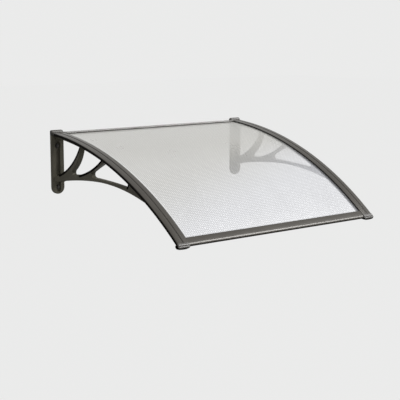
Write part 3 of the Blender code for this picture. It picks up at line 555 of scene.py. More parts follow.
sweep, sweep_in, sweep_out = geometry_tree("swept_profile", {
    "Outline": "Object", "Start": "Vector", "End": "Vector", "Steps": "Int", "Finish": "Material",
})
ends = {"Start": sweep_in["Start"], "End": sweep_in["End"]}
path = feed(sweep, "GeometryNodeCurvePrimitiveLine", ends)
path = feed(sweep, "GeometryNodeResampleCurve", {"Curve": path, "Count": sweep_in["Steps"]})
path = feed(sweep, "GeometryNodeSetCurveNormal", {"Curve": path}, mode="Z_UP")
outline = geometry_of(sweep, sweep_in["Outline"])
curves = {"Curve": path, "Profile Curve": outline, "Fill Caps": True}
body = feed(sweep, "GeometryNodeCurveToMesh", curves)
body = feed(sweep, "GeometryNodeSetShadeSmooth", {"Geometry": body})
fold = add(sweep, "GeometryNodeInputMeshEdgeAngle").outputs["Unsigned Angle"]
crease = feed(sweep, "FunctionNodeCompare", {0: fold, 1: SMOOTH_ANGLE}, operation="GREATER_THAN")
sharp = {"Geometry": body, "Selection": crease, "Shade Smooth": False}
body = feed(sweep, "GeometryNodeSetShadeSmooth", sharp, domain="EDGE")
body = realized(sweep, bent_geometry(sweep, body))
sweep.links.new(coated(sweep, body, sweep_in["Finish"]), sweep_out)


def swept(name, points, start, end, finish, steps):
    """The outline's points are millimetres: first across the path, then the depth."""
    curve = bpy.data.curves.new(name + "_outline", "CURVE")
    curve.dimensions = "2D"
    line = curve.splines.new("POLY")
    line.points.add(len(points) - 1)
    for point, (across, depth) in zip(line.points, points):
        point.co = (across * MM, depth * MM, 0.0, 1.0)
    line.use_cyclic_u = True
    drawn = new_object(name + "_outline", curve)
    made = run_tree(name, sweep, {
        "Outline": drawn, "Start": start, "End": end, "Steps": steps, "Finish": finish,
    })
    bpy.data.objects.remove(drawn)
    shape = bmesh.new()
    shape.from_mesh(made.data)
    bmesh.ops.recalc_face_normals(shape, faces=shape.faces)
    shape.to_mesh(made.data)
    shape.free()
    return made


def along_rail(name, side, section, start, end, finish, steps=3):
    """Sweeps a section that is drawn across the rail, from outside to inside."""
    points = [(-side * (RAIL_X / MM - u), depth) for u, depth in section]
    return swept(name, points, (0, -start * MM, 0), (0, -end * MM, 0), finish, steps)


def along_wall(name, section, half, finish):
    """Sweeps a section that is drawn along the arc."""
    return swept(name, section, (-half * MM, 0, 0), (half * MM, 0, 0), finish, 2)


def rounded(centre_a, centre_b, radius, from_degrees, to_degrees, count):
    """Points on an arc. 0 degrees lies along the first number, 90 towards smaller depth."""
    points = []
    for i in range(count + 1):
        angle = math.radians(from_degrees + (to_degrees - from_degrees) * i / count)
        points.append((centre_a + radius * math.cos(angle), centre_b - radius * math.sin(angle)))
    return points


# %% Rails
RAIL_HALF = 25.0
LEG_BOTTOM = 11.0
CROWN_TOP = 0.05
CROWN_DROP = 1.2
CROWN_STEPS = 6
OUTER_SHOULDER = 2.6
INNER_SHOULDER = 1.4
SHOULDER_GAP = 0.8
GROOVE_HALF = 3.2
GROOVE_RIM = 0.5
GROOVE_RIM_DEPTH = 0.25
GROOVE_SLOPE = 0.7
GROOVE_FLOOR = 1.5
CLAMP_START = 22.3
RAIL_STEPS = 64
UNDERSIDE = [  # foot on the seal, channel, screw boss, channel, outer leg
    (RAIL_HALF, 4.2), (19.0, 4.2), (19.0, 2.9), (23.0, 2.9), (22.0, 2.2), (5.0, 2.2), (5.0, 5.2),
    (-5.0, 5.2), (-5.0, 2.2), (-22.0, 2.2), (-23.0, 3.2), (-23.0, LEG_BOTTOM),
]


def crown(start, end):
    """The domed top between two places, highest in the middle of the rail."""
    places = [start + (end - start) * i / CROWN_STEPS for i in range(CROWN_STEPS + 1)]
    return [(u, CROWN_TOP + CROWN_DROP * (u / RAIL_HALF) ** 2) for u in places]


def clamp_outline():
    edge = CROWN_TOP + CROWN_DROP
    left, right = -RAIL_HALF + OUTER_SHOULDER, RAIL_HALF - INNER_SHOULDER
    points = [(-RAIL_HALF, LEG_BOTTOM)]
    points += rounded(left, edge + OUTER_SHOULDER, OUTER_SHOULDER, 180, 94, 6)
    points += crown(left + SHOULDER_GAP, -GROOVE_HALF - GROOVE_RIM)
    points += [(-GROOVE_HALF, GROOVE_RIM_DEPTH), (-GROOVE_HALF + GROOVE_SLOPE, GROOVE_FLOOR)]
    points += [(GROOVE_HALF - GROOVE_SLOPE, GROOVE_FLOOR), (GROOVE_HALF, GROOVE_RIM_DEPTH)]
    points += crown(GROOVE_HALF + GROOVE_RIM, right - SHOULDER_GAP)
    points += rounded(right, edge + INNER_SHOULDER, INNER_SHOULDER, 86, 0, 4)
    return points + UNDERSIDE


for side, word in SIDES:
    rail = along_rail("rail_crown_" + word, side, clamp_outline(), CLAMP_START, RAIL_END,
                      rail_bronze, RAIL_STEPS)
    keep(rail, "rail", "rail_clamp_" + word)

# %% Front and rear bar
BAR_HALF = 446.2
FRONT_BAR_S = 865.7
BAR_TOP = 2.2
BAR_EDGE = 0.8
NOSE_FROM = 24.3
NOSE_WIDE = 16.0
NOSE_TURN = 34
NOSE_TIGHT = 4.1
NOSE_WALL = 1.8
NOSE_BACK = 21.3
REAR_HALF = 438.7
BAR_BOSS = [(15.0, 3.8), (15.0, 5.2), (9.0, 5.2), (9.0, 3.6), (5.0, 3.6), (5.0, 4.2)]
REAR_TOP_GROOVE = [(12.5, 0.0), (13.0, 0.9), (16.5, 0.9), (17.0, 0.0)]
REAR_UNDERSIDE = [
    (29.3, 4.2), (24.3, 4.2), (24.3, 2.9), (27.3, 2.9), (27.3, 2.6), (20.0, 2.4), (20.0, 5.2),
    (14.0, 5.2), (14.0, 2.4), (6.2, 2.4), (6.2, 8.5),
]


def front_bar_outline():
    """Along the arc from the sheet to the nose, then back inside."""
    outer = [(0.0, 4.2)] + rounded(BAR_EDGE, BAR_TOP + BAR_EDGE, BAR_EDGE, 180, 90, 4)
    outer += rounded(NOSE_FROM, BAR_TOP + NOSE_WIDE, NOSE_WIDE, 90, 90 - NOSE_TURN, 10)
    last, depth = outer[-1]
    turn = math.radians(90 - NOSE_TURN)
    centre = (last - NOSE_TIGHT * math.cos(turn), depth + NOSE_TIGHT * math.sin(turn))
    outer += rounded(*centre, NOSE_TIGHT, 90 - NOSE_TURN, -90, 10)[1:]
    low = centre[1] + NOSE_TIGHT
    inside = [(NOSE_BACK, low), (NOSE_BACK, low - NOSE_WALL), (centre[0], low - NOSE_WALL)]
    inside += [(centre[0] + 2.2, centre[1]), (NOSE_FROM, BAR_TOP + NOSE_WALL)]
    print("nose reaches", round(max(a for a, b in outer), 2), "and goes down to", round(low, 2))
    return [(FRONT_BAR_S + a, b) for a, b in outer + inside + BAR_BOSS]


bar = along_wall("front_bar_nose", front_bar_outline(), BAR_HALF, bar_bronze)
keep(bar, "rail", "front_bar")
rear = [(4.2, 8.5)] + rounded(5.2, 1.0, 1.0, 180, 90, 4) + REAR_TOP_GROOVE
rear += rounded(26.8, 2.5, 2.5, 90, 0, 6) + REAR_UNDERSIDE
keep(along_wall("rear_bar_profile", rear, REAR_HALF, rear_bronze), "rail", "rear_bar")

# %% [markdown]
# ## Caps
#
# Four moulded caps close the rails. It is their rounded edges that catch the light, so each cap is
# a skin through cross-sections that shrink towards its ends. The hood covers the top of the
# bracket. The nose cap has a small nose in line with the front bar and a rounded lip below it.
# Tongues hold both in the rail's channels.


# %% A skin through cross-sections
def mesh_from(name, shape, *finishes):
    mesh = bpy.data.meshes.new(name)
    for finish in finishes:
        mesh.materials.append(finish)
    shape.to_mesh(mesh)
    shape.free()
    return mesh


def skin(name, rings, finish, bored=False):
    """rings are outlines of as many points, in metres. A bored piece joins its last ring to its
    first, any other one is closed at both ends."""
    shape = bmesh.new()
    rows = [[shape.verts.new(point) for point in ring] for ring in rings]
    pairs = list(zip(rows[:-1], rows[1:]))
    if bored:
        pairs.append((rows[-1], rows[0]))
    else:
        shape.faces.new(rows[0])
        shape.faces.new(rows[-1])
    for row, following in pairs:
        for i in range(len(row)):
            j = (i + 1) % len(row)
            shape.faces.new((row[i], row[j], following[j], following[i]))
    bmesh.ops.recalc_face_normals(shape, faces=shape.faces)
    mesh = mesh_from(name, shape, finish)
    mesh.shade_smooth()
    mesh.set_sharp_from_angle(angle=SMOOTH_ANGLE)
    return new_object(name, mesh)


def joined(name, pieces, finish):
    shape = bmesh.new()
    for piece in pieces:
        shape.from_mesh(piece.data)
        bpy.data.objects.remove(piece)
    return new_object(name, mesh_from(name, shape, finish))


def quarter(count):
    """Steps of a quarter turn, as pairs of how far out and how far in."""
    angles = [math.pi / 2 * i / count for i in range(count + 1)]
    return [(math.sin(angle), 1 - math.cos(angle)) for angle in angles]


def beside_rail(side, u, y, z):
    """A place in metres, from millimetres: u across the rail from outside to inside."""
    return Vector((side * (RAIL_X - u * MM), y * MM, z * MM))


def oblong(left, right, top, bottom):
    return [(left, top), (right, top), (right, bottom), (left, bottom)]


TONGUES = [oblong(-18.5, -7.0, 2.4, 5.2), oblong(7.0, 18.5, 2.4, 5.2)]

# %% Hoods at the back
HOOD_OUTSIDE = 28.0
HOOD_INSIDE = 32.5
HOOD_LOW = -6.7
HOOD_TOP = 14.3
HOOD_DEPTH = 10.5
HOOD_ROUND = 10.0
HOOD_DOME = 13.0
HOOD_CHEEK = 4.0
HOOD_OUTER_CORNER = 6.0
HOOD_INNER_CORNER = 11.0
HOOD_NECK = [
    (-22.5, 11.0), (-22.5, 1.4), (-22.2, 0.7), (-21.5, 0.4),
    (HOOD_INSIDE, 0.4), (HOOD_INSIDE, 5.2), (-20.8, 5.2), (-20.8, 11.0),
]
HOOD_FINGER = oblong(25.3, HOOD_INSIDE, 0.4, 5.2)
HOOD_PARTS = [(HOOD_NECK, 8.5, 22.0), (HOOD_FINGER, 21.0, 29.3)]
HOOD_PARTS += [(tongue, 21.0, 35.0) for tongue in TONGUES]


def hood_outline(inward):
    """Front view: places across the rail, and heights."""
    cheek = HOOD_CHEEK * inward
    left, right, top = -HOOD_OUTSIDE + cheek, HOOD_INSIDE - cheek, HOOD_TOP - HOOD_DOME * inward
    outer, inner = HOOD_OUTER_CORNER, HOOD_INNER_CORNER
    corners = rounded(left + outer, -top + outer, outer, 180, 90, 6)
    corners += rounded(right - inner, -top + inner, inner, 90, 0, 8)
    return [(left, HOOD_LOW)] + [(u, -depth) for u, depth in corners] + [(right, HOOD_LOW)]


def hood(side, word):
    rings = [[beside_rail(side, u, 0, z) for u, z in hood_outline(0.0)]]
    for out, inward in quarter(6):
        y = -(HOOD_DEPTH - HOOD_ROUND + HOOD_ROUND * out)
        rings.append([beside_rail(side, u, y, z) for u, z in hood_outline(inward)])
    parts = [skin("hood_block", rings, hood_look)]
    for section, start, end in HOOD_PARTS:
        parts.append(along_rail("hood_part", side, section, start, end, hood_look))
    keep(joined("hood_" + word, parts, hood_look), "cap", "head_cap_" + word)


# %% Noses at the front
NOSE_S = 897.1
NOSE_DEPTH = 3.0
NOSE_TIP = 35.5
CAP_BACK = 886.7
CAP_BASE = 11.8
CAP_TOP = 0.1
BACK_EDGE = 0.6
BACK_CORNER = 2.0
BIG_ROUND = 10.0
SMALL_ROUND = 2.4
SMALL_DROP = 0.4
ROUND_TURN = math.radians(68)
SMALL_END = math.radians(128)
LIP_ROUND = 7.2
LIP_DROP = 7.7
LIP_BACK = 1.5
LIP_TURN = (math.radians(36), math.radians(180))
CAP_OUTSIDE = 27.9
CAP_INNER_CORNER = 2.0
CAP_EDGE = 1.3
END_ROUND = 7.0
END_FLAT = 0.35
END_PULL = 5.0
END_MIDDLE = 3.0
OUTER_ARCH = 3.0
INNER_ARCH = 7.0
CAP_LOWEST = 3.0
WAIST_DROP = 3.0
STRAIGHT_STEPS = 22


def on_circle(centre, radius, start, end, count):
    """Points (y, z) on a circle. The angle grows from straight up towards the viewer."""
    angles = [start + (end - start) * i / count for i in range(count + 1)]
    return [centre + radius * Vector((-math.sin(angle), math.cos(angle))) for angle in angles]


def side_view(s, depth):
    """A point of the arc in millimetres, seen from the side."""
    return Vector(arc_point(0, s * MM, depth * MM).yz) / MM


def nose_outline():
    """Side view of the cap in millimetres: end of the rail, nose, lip and upright back."""
    slope = START_ANGLE + (FRONT_BAR_S + NOSE_TIP) * MM / ARC_RADIUS
    centre = side_view(NOSE_S, NOSE_DEPTH)
    small = centre - SMALL_DROP * Vector((-math.sin(slope), math.cos(slope)))
    normal = Vector((-math.sin(ROUND_TURN), math.cos(ROUND_TURN)))
    big = small - (BIG_ROUND - SMALL_ROUND) * normal
    lip = centre + Vector((LIP_BACK, -LIP_DROP))
    points = [side_view(CAP_BACK, CAP_BASE), side_view(CAP_BACK, BACK_EDGE)]
    points.append(side_view(CAP_BACK + BACK_EDGE, CAP_TOP))
    points += on_circle(big, BIG_ROUND, slope, ROUND_TURN, 8)
    points += on_circle(small, SMALL_ROUND, ROUND_TURN, SMALL_END, 6)[1:]
    points += on_circle(lip, LIP_ROUND, *LIP_TURN, 16)
    rear, bottom = points[0][0], lip[1] - LIP_ROUND
    return points + [Vector((rear - BACK_CORNER, bottom)), Vector((rear, bottom + BACK_CORNER))]


def nose_places():
    """Places across the rail, and how far the outline is inset there."""
    start = -CAP_OUTSIDE + END_ROUND
    places = [(start - END_ROUND * out, 0.0) for out, inward in reversed(quarter(12))]
    straight = RAIL_HALF - CAP_EDGE - start
    places += [(start + straight * i / STRAIGHT_STEPS, 0.0) for i in range(1, STRAIGHT_STEPS)]
    edge = [(RAIL_HALF - CAP_EDGE * (1 - out), CAP_EDGE * inward) for out, inward in quarter(4)]
    return places + edge


def drop(part, whole):
    """How far a circle falls, from 0 in its middle to 1 at its edge."""
    return 1 - math.sqrt(max(0.0, 1 - (part / whole) ** 2))


def nose_cap(side, word):
    outline_points = nose_outline()
    front, rear = min(p[0] for p in outline_points), max(p[0] for p in outline_points)
    bottom = min(p[1] for p in outline_points)
    waist = side_view(NOSE_S, NOSE_DEPTH)[1] - WAIST_DROP
    middle = sum(outline_points, Vector((0, 0))) / len(outline_points)
    rings = []
    for u, inset in nose_places():
        shrink = 1 - (1 - END_FLAT) * drop(max(0.0, END_ROUND - CAP_OUTSIDE - u), END_ROUND)
        inner = max(0.0, CAP_INNER_CORNER - (RAIL_HALF - u))
        pull = END_PULL * (1 - shrink) + CAP_INNER_CORNER * drop(inner, CAP_INNER_CORNER)
        outside = u < CAP_LOWEST
        arch = OUTER_ARCH if outside else INNER_ARCH
        reach = CAP_OUTSIDE + CAP_LOWEST if outside else RAIL_HALF - CAP_LOWEST
        lift = arch * drop(u - CAP_LOWEST, reach)
        ring = []
        for point in outline_points:
            towards = middle - point
            y, z = point + towards.normalized() * min(inset, towards.length)
            y += pull * max(0.0, (rear - y) / (rear - front))
            z += lift * min(1.0, max(0.0, (waist - z) / (waist - bottom)))
            z = middle[1] + END_MIDDLE + (z - middle[1] - END_MIDDLE) * shrink
            ring.append(beside_rail(side, u, y, z))
        rings.append(ring)
    parts = [skin("nose_block", rings, nose_look)]
    for tongue in TONGUES:
        parts.append(along_rail("nose_part", side, tongue, start=873.4, end=890.4,
                                finish=nose_look))
    keep(joined("nose_" + word, parts, nose_look), "cap", "nose_cap_" + word)


for side, word in SIDES:
    hood(side, word)
    nose_cap(side, word)

# %% [markdown]
# ## The embossed sheet
#
# Such sheet is rolled with small pyramids, which scatter the light. A bump would only shade them,
# so they are real faces: a flat grid with a point on each cell, a smooth underside, four edges, and
# then the bend.

# %% Embossing
WELD = 0.01 * MM

emboss, emboss_in, emboss_out = geometry_tree("embossed_sheet", {
    "Half Width": "Float", "From": "Float", "To": "Float", "Depth": "Float", "Thickness": "Float",
    "Pitch": "Float", "Relief": "Float", "Embossed Face": "Material", "Other Faces": "Material",
})
start, end, relief = (emboss_in[label] for label in ("From", "To", "Relief"))


def points_along(size):
    cells = maths(emboss, "ROUND", maths(emboss, "DIVIDE", size, emboss_in["Pitch"]))
    return maths(emboss, "ADD", cells, 1)


def welded(geometry):
    inputs = {"Geometry": geometry, "Distance": WELD}
    return feed(emboss, "GeometryNodeMergeByDistance", inputs)


def shifted(geometry, way):
    inputs = {"Geometry": geometry, "Translation": way}
    return feed(emboss, "GeometryNodeTransform", inputs)


def together(*geometries):
    joint = add(emboss, "GeometryNodeJoinGeometry")
    for geometry in geometries:
        emboss.links.new(geometry, joint.inputs[0])
    return joint.outputs[0]


width = maths(emboss, "MULTIPLY", emboss_in["Half Width"], 2)
length = maths(emboss, "SUBTRACT", end, start)
cells = feed(emboss, "GeometryNodeMeshGrid", {
    "Size X": width, "Size Y": length,
    "Vertices X": points_along(width), "Vertices Y": points_along(length),
})
raised = {"Mesh": cells, "Offset Scale": relief}
raised = add(emboss, "GeometryNodeExtrudeMesh", raised).outputs
tops = {"Geometry": raised["Mesh"], "Selection": raised["Top"], "Scale": 0.0}
top = coated(emboss, welded(feed(emboss, "GeometryNodeScaleElements", tops)),
             emboss_in["Embossed Face"])
lifted = split(emboss, feed(emboss, "GeometryNodeInputPosition"))["Z"]
tip = {"Geometry": top, "Name": "tip", "Value": maths(emboss, "DIVIDE", lifted, relief)}
top = feed(emboss, "GeometryNodeStoreNamedAttribute", tip)

# %% Underside, edges and bend of the sheet
down = xyz(emboss, 0, 0, maths(emboss, "SUBTRACT", relief, emboss_in["Thickness"]))
underside = shifted(feed(emboss, "GeometryNodeFlipFaces", {"Mesh": cells}), down)
neighbours = feed(emboss, "GeometryNodeInputMeshEdgeNeighbors")
rim = feed(emboss, "FunctionNodeCompare", {2: neighbours, 3: 1}, data_type="INT",
           operation="EQUAL")
walls = {"Mesh": cells, "Selection": rim, "Offset": down}
walls = add(emboss, "GeometryNodeExtrudeMesh", walls, mode="EDGES").outputs
inner = maths(emboss, "SUBTRACT", 1.0, walls["Side"])
inner = {"Geometry": walls["Mesh"], "Selection": inner}
edges = feed(emboss, "GeometryNodeDeleteGeometry", inner, domain="FACE")
others = coated(emboss, together(underside, edges), emboss_in["Other Faces"])
middle = maths(emboss, "MULTIPLY", maths(emboss, "ADD", start, end), -0.5)
height = maths(emboss, "MULTIPLY", maths(emboss, "ADD", emboss_in["Depth"], relief), -1)
laid = shifted(welded(together(top, others)), xyz(emboss, 0, middle, height))
faceted = {"Geometry": bent_geometry(emboss, laid), "Shade Smooth": False}
faceted = feed(emboss, "GeometryNodeSetShadeSmooth", faceted)
emboss.links.new(realized(emboss, faceted), emboss_out)

sheet = run_tree("embossed_sheet", emboss, {
    "Half Width": 492.0 * MM, "From": 14.5 * MM, "To": 883.7 * MM, "Depth": 5.5 * MM,
    "Thickness": 3.0 * MM, "Pitch": 8.5 * MM, "Relief": 0.35 * MM,
    "Embossed Face": embossed_look, "Other Faces": smooth_look,
})
keep(sheet, "sheet", "sheet")

# %% [markdown]
# ## Seals
#
# Soft rubber lies between metal and plastic, so that rain stays out and nothing rattles. The seals
# on top of the sheet end in a thin lip, a black line beside the rails and bars, and are swept like
# the metal. The one at the back has four ribs, which flatten when it is pressed on: its outline
# is a wave.

# %% Seals with a lip
LIP_SECTION = [
    (-6.0, 4.5), (-0.4, 4.5), (0.3, 3.9), (2.6, 5.05), (2.6, 5.4), (0, 5.4), (-0.4, 5.2),
    (-6.0, 5.2),
]


def lip_outline(place, direction):
    """place is where the metal ends, and the lip goes on in the given direction."""
    return [(place + direction * a, b) for a, b in LIP_SECTION]


for side, word in SIDES:
    seal = along_rail("lip_seal_" + word, side, lip_outline(RAIL_HALF, 1), start=30.3,
                      end=864.7, finish=rubber_look, steps=RAIL_STEPS)
    keep(seal, "rubber", "top_seal_" + word)
front_lip = lip_outline(FRONT_BAR_S, -1)
lipped = along_wall("lip_seal_front", front_lip, half=445.2, finish=rubber_look)
keep(lipped, "rubber", "front_seal")

# %% Ribbed seal at the back
RIB_COUNT = 4
RIB_STEPS = 8
RIB_DEPTH = 0.9
WALL_SEAL_FROM, WALL_SEAL_TO = 1.0, 8.0
REAR_BAR_BACK = 3.9


def ribbed_ring(x):
    top = arc_point(x, REAR_BAR_BACK * MM, WALL_SEAL_FROM * MM)
    low = arc_point(x, REAR_BAR_BACK * MM, WALL_SEAL_TO * MM)
    ring = [low, top]
    for i in range(RIB_COUNT * RIB_STEPS + 1):
        turn = 2 * math.pi * i / RIB_STEPS
        z = top.z + (low.z - top.z) * i / (RIB_COUNT * RIB_STEPS)
        ring.append(Vector((x, -RIB_DEPTH * MM * (1 + math.cos(turn)) / 2, z)))
    return ring


ribbed_rings = [ribbed_ring(x * MM) for x in (-REAR_HALF, REAR_HALF)]
keep(skin("wall_rubber", ribbed_rings, rubber_look), "rubber", "wall_seal")

# %% [markdown]
# ## Brackets
#
# A bracket is one moulding. Its solid lacks only the small round that a mould leaves on each edge,
# so a copy has its loose triangles merged, its flat faces made whole and its edges bevelled. Where
# the web looks up or back, its rims get painted shade: a very flat near-black bead on either side,
# a small box along each edge, leaving out the faces between neighbours. Faces inset into the web's
# sides would be simpler, but they close its openings.

# %% The bead of painted shade along the web
BEAD_WIDTH = 7.0 * MM
BEAD_PROUD = 0.15 * MM
WEB_SIDES = (0.4605, 0.4825)
FLAT_SIDE = 0.999
SLOPED = 0.98
BEAD_WALLWARD, BEAD_UPWARD = 0.12, -0.3
SMALL_SLOPE = 0.1


def rims(shape, side):
    """Edges of one side that get the bead of painted shade, and each point's way into the web."""
    runs, inward = [], {}
    for edge in shape.edges:
        on_side = any(side * face.normal.x > FLAT_SIDE for face in edge.link_faces)
        if not on_side or round(abs(edge.verts[0].co.x), 4) not in WEB_SIDES:
            continue
        sloped = [face.normal for face in edge.link_faces if abs(face.normal.x) < SLOPED]
        outward = Vector((0, *sloped[0].yz)) if sloped else Vector()
        if outward.length < SMALL_SLOPE:
            continue
        outward.normalize()
        if outward.y > BEAD_WALLWARD and outward.z > BEAD_UPWARD:
            runs.append(edge.verts)
            for vert in edge.verts:
                inward[vert] = inward.get(vert, Vector()) - outward
    return runs, inward


def shade_beads(shape):
    made = bmesh.new()
    for side in (-1, 1):
        proud = Vector((side * BEAD_PROUD, 0, 0))
        runs, inward = rims(shape, side)
        for a, b in runs:
            steps = [inward[vert].normalized() * BEAD_WIDTH for vert in (a, b)]
            corners = [a.co, b.co, b.co + steps[1], a.co + steps[0]]
            upper, lower = ([made.verts.new(corner + way) for corner in corners]
                            for way in (proud, -proud))
            made.faces.new(upper)
            made.faces.new(lower)
            for i in range(4):
                j = (i + 1) % 4
                made.faces.new((upper[i], upper[j], lower[j], lower[i]))
    bmesh.ops.remove_doubles(made, verts=made.verts, dist=WELD)
    made.verts.index_update()
    alike = {}
    for face in made.faces:
        alike.setdefault(frozenset(vert.index for vert in face.verts), []).append(face)
    between = [face for faces in alike.values() if len(faces) > 1 for face in faces]
    bmesh.ops.delete(made, geom=between, context="FACES")
    bmesh.ops.recalc_face_normals(made, faces=made.faces)
    return mesh_from("shade_beads", made)


# %% Brackets with softened edges
def softened(name, solid, finish):
    shape = bmesh.new()
    shape.from_mesh(solid.data)
    bmesh.ops.remove_doubles(shape, verts=shape.verts, dist=0.02 * MM)
    bmesh.ops.dissolve_limit(shape, angle_limit=math.radians(0.5), verts=shape.verts,
                             edges=shape.edges)
    shade_bead_mesh = shade_beads(shape)
    piece = new_object(name, mesh_from(name, shape, finish, shade_look))
    rounding = piece.modifiers.new("edges", "BEVEL")
    rounding.width = 0.7 * MM
    rounding.segments = 2
    rounding.limit_method = "ANGLE"
    rounding.angle_limit = SMOOTH_ANGLE
    mesh = baked(piece).data
    mesh.shade_smooth()
    mesh.set_sharp_from_angle(angle=math.radians(18))
    whole = bmesh.new()
    whole.from_mesh(mesh)
    own = len(whole.faces)
    whole.from_mesh(shade_bead_mesh)
    whole.faces.ensure_lookup_table()
    # The bead's faces take the second finish, a near-black painted shade.
    for face in whole.faces[own:]:
        face.material_index = 1
        face.smooth = False
    print(name, "faces in the beads:", len(whole.faces) - own)
    whole.to_mesh(mesh)
    whole.free()
    return piece


for side, word in SIDES:
    bracket = softened("wall_bracket_" + word, nodes["bracket_" + word], bracket_look)
    keep(bracket, "bracket", "bracket_" + word)

# %% [markdown]
# ## Screws
#
# Ten screws hold the rails together and six the bars, all driven from below. A screw is one
# outline spun round an axis, with a cross pressed into its head. It is made once for each length,
# and a small tree puts it on its places and bends the row to the arc. The wall screws have a
# hexagon head on a washer.

# %% A turned piece
TURNED_SIDES = 24
CROSS_REACH = 2.1
CROSS_HALF = 0.62
HEXAGON_HALF = 5.6


def turned(name, rows, bored):
    """Each row is a radius, or a function of the angle that gives one, and a height, in
    millimetres. A head looks down, towards smaller heights."""
    rings = []
    for radius, height in rows:
        ring = []
        for i in range(TURNED_SIDES):
            angle = 2 * math.pi * i / TURNED_SIDES
            far = radius(angle) if callable(radius) else radius
            ring.append(Vector((far * math.cos(angle), far * math.sin(angle), height)) * MM)
        rings.append(ring)
    return skin(name, rings, steel_look, bored)


def cross(angle):
    """Radius of a cross recess at an angle. 0.2 only keeps an arm's middle from dividing by 0."""
    turn = abs((angle + math.pi / 4) % (math.pi / 2) - math.pi / 4)
    return min(CROSS_REACH / math.cos(turn), CROSS_HALF / max(math.sin(turn), 0.2))


def hexagon(angle):
    turn = (angle + math.pi / 6) % (math.pi / 3) - math.pi / 6
    return HEXAGON_HALF / math.cos(turn)


# %% Outlines of a pan-head screw, a hexagon-head screw and a washer
HEAD_RADIUS, HEAD_HEIGHT = 3.8, 2.4
SHANK_RADIUS, SHANK_CORE = 1.9, 1.55
THREAD_FROM, THREAD_PITCH = 1.0, 0.9
THREAD_STOP, POINT_LENGTH, POINT_RADIUS = 2.2, 1.6, 0.5
WALL_HEAD, WALL_SHANK = 5.3, 5.0


def pan_rows(length):
    rows = [(cross, -1.0), (cross, -HEAD_HEIGHT + 0.05), (2.6, -HEAD_HEIGHT), (3.2, -2.0)]
    rows += [(3.65, -1.3), (HEAD_RADIUS, -0.6), (HEAD_RADIUS, 0.0), (SHANK_RADIUS, 0.05)]
    height = THREAD_FROM
    while height < length - THREAD_STOP:
        rows += [(SHANK_RADIUS, height), (SHANK_CORE, height + THREAD_PITCH / 2)]
        height += THREAD_PITCH
    return rows + [(SHANK_CORE, length - POINT_LENGTH), (POINT_RADIUS, length)]


hexagon_rows = [
    (4.6, -WALL_HEAD), (5.1, -WALL_HEAD + 0.1), (hexagon, -WALL_HEAD + 0.7), (hexagon, 0.0),
    (4.0, 0.02), (4.0, WALL_SHANK),
]
washer_rows = [(4.35, 0.0), (8.2, 0.0), (8.5, 0.3), (8.5, 1.3), (8.2, 1.6), (4.35, 1.6)]

# %% The tree that puts a turned piece on its places
placing, placing_in, placing_out = geometry_tree("pieces_on_places", {
    "Places": "Object", "Piece": "Object", "Turn": "Vector", "Follow Arc": "Bool",
    "Finish": "Material",
})
dots = feed(placing, "GeometryNodeMeshToPoints",
            {"Mesh": geometry_of(placing, placing_in["Places"])})
turning = feed(placing, "FunctionNodeEulerToRotation", {0: placing_in["Turn"]})
single = geometry_of(placing, placing_in["Piece"])
copies = realized(placing, feed(placing, "GeometryNodeInstanceOnPoints", {
    "Points": dots, "Instance": single, "Rotation": turning,
}))
either = {"False": copies, "True": bent_geometry(placing, copies)}
either = feed(placing, "GeometryNodeSwitch", {"Switch": placing_in["Follow Arc"], **either})
placing.links.new(coated(placing, either, placing_in["Finish"]), placing_out)


def set_out(name, rows, places, replaced, turn=(0, 0, 0), on_arc=True, bored=False):
    """Puts one turned piece on many places, given in metres."""
    one = turned(name + "_one", rows, bored)
    dots = bpy.data.meshes.new(name + "_places")
    dots.from_pydata(places, [], [])
    marks = new_object(name + "_places", dots)
    made = run_tree(name, placing, {
        "Places": marks, "Piece": one, "Turn": turn, "Follow Arc": on_arc, "Finish": steel_look,
    })
    for helper in (one, marks):
        bpy.data.objects.remove(helper)
    keep(made, "screw", *replaced)


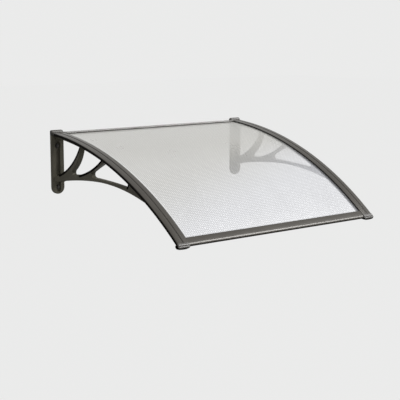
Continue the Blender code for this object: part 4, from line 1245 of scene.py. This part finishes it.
# %% Screws of the rails and bars, laid out flat
BASE_BOTTOM = 12.1
SCREW_GAP = 0.3
RAIL_SCREWS = (95.0, 255.0, 425.0, 735.0, 835.0)
RAIL_COVER = 2.6
BAR_SCREWS = (-300.0, 0.0, 300.0)

for label, numbers, bottom in (("chord", (0, 1, 2), 21.3), ("base", (3, 4), BASE_BOTTOM)):
    seat = bottom + SCREW_GAP
    pairs = [(side, word, i) for side, word in SIDES for i in numbers]
    places = [(side * RAIL_X, -RAIL_SCREWS[i] * MM, -seat * MM) for side, word, i in pairs]
    names = ["clamp_screw_%s_%d" % (word, i + 1) for side, word, i in pairs]
    set_out("rail_screws_" + label, pan_rows(seat - RAIL_COVER), places, names)
for label, s, cover in (("front", 877.7, 4.7), ("rear", 17.0, 2.5)):
    seat = BASE_BOTTOM + SCREW_GAP
    places = [(x * MM, -s * MM, -seat * MM) for x in BAR_SCREWS]
    names = ["%s_screw_%d" % (label, i + 1) for i in range(len(BAR_SCREWS))]
    set_out("bar_screws_" + label, pan_rows(seat - cover), places, names)

# %% Wall screws and washers
WALL_SCREW_HEIGHTS = (("upper", -49.0), ("lower", -214.0))

for kind, rows, back, tilt in (("washer", washer_rows, -4.3, math.pi / 2),
                            ("screw", hexagon_rows, -6.2, -math.pi / 2)):
    corners = [(side, word, *row) for side, word in SIDES for row in WALL_SCREW_HEIGHTS]
    places = [(side * RAIL_X, back * MM, z * MM) for side, word, end, z in corners]
    names = ["wall_%s_%s_%s" % (kind, word, end) for side, word, end, z in corners]
    set_out("wall_%ss" % kind, rows, places, names, (tilt, 0, 0), False, kind == "washer")

# %% [markdown]
# ## Solids that stay as they are
#
# The base profiles, the strips and the seals below the sheet only get their finish, and so do the
# hidden solids. A word in a solid's name says which.

# %% Finishes of the solids
LOOKS = {
    "screw": steel_look, "washer": steel_look, "seal": rubber_look, "sheet": smooth_look,
    "bracket": bracket_look, "head": hood_look, "nose": nose_look, "rail": rail_bronze,
    "rear_bar": rear_bronze, "front_bar": bar_bronze, "strip": bar_bronze,
}
for name, solid in nodes.items():
    look = next(look for word, look in LOOKS.items() if word in name)
    for slot in solid.material_slots:
        slot.material = look
print("finished solids:", len(nodes))
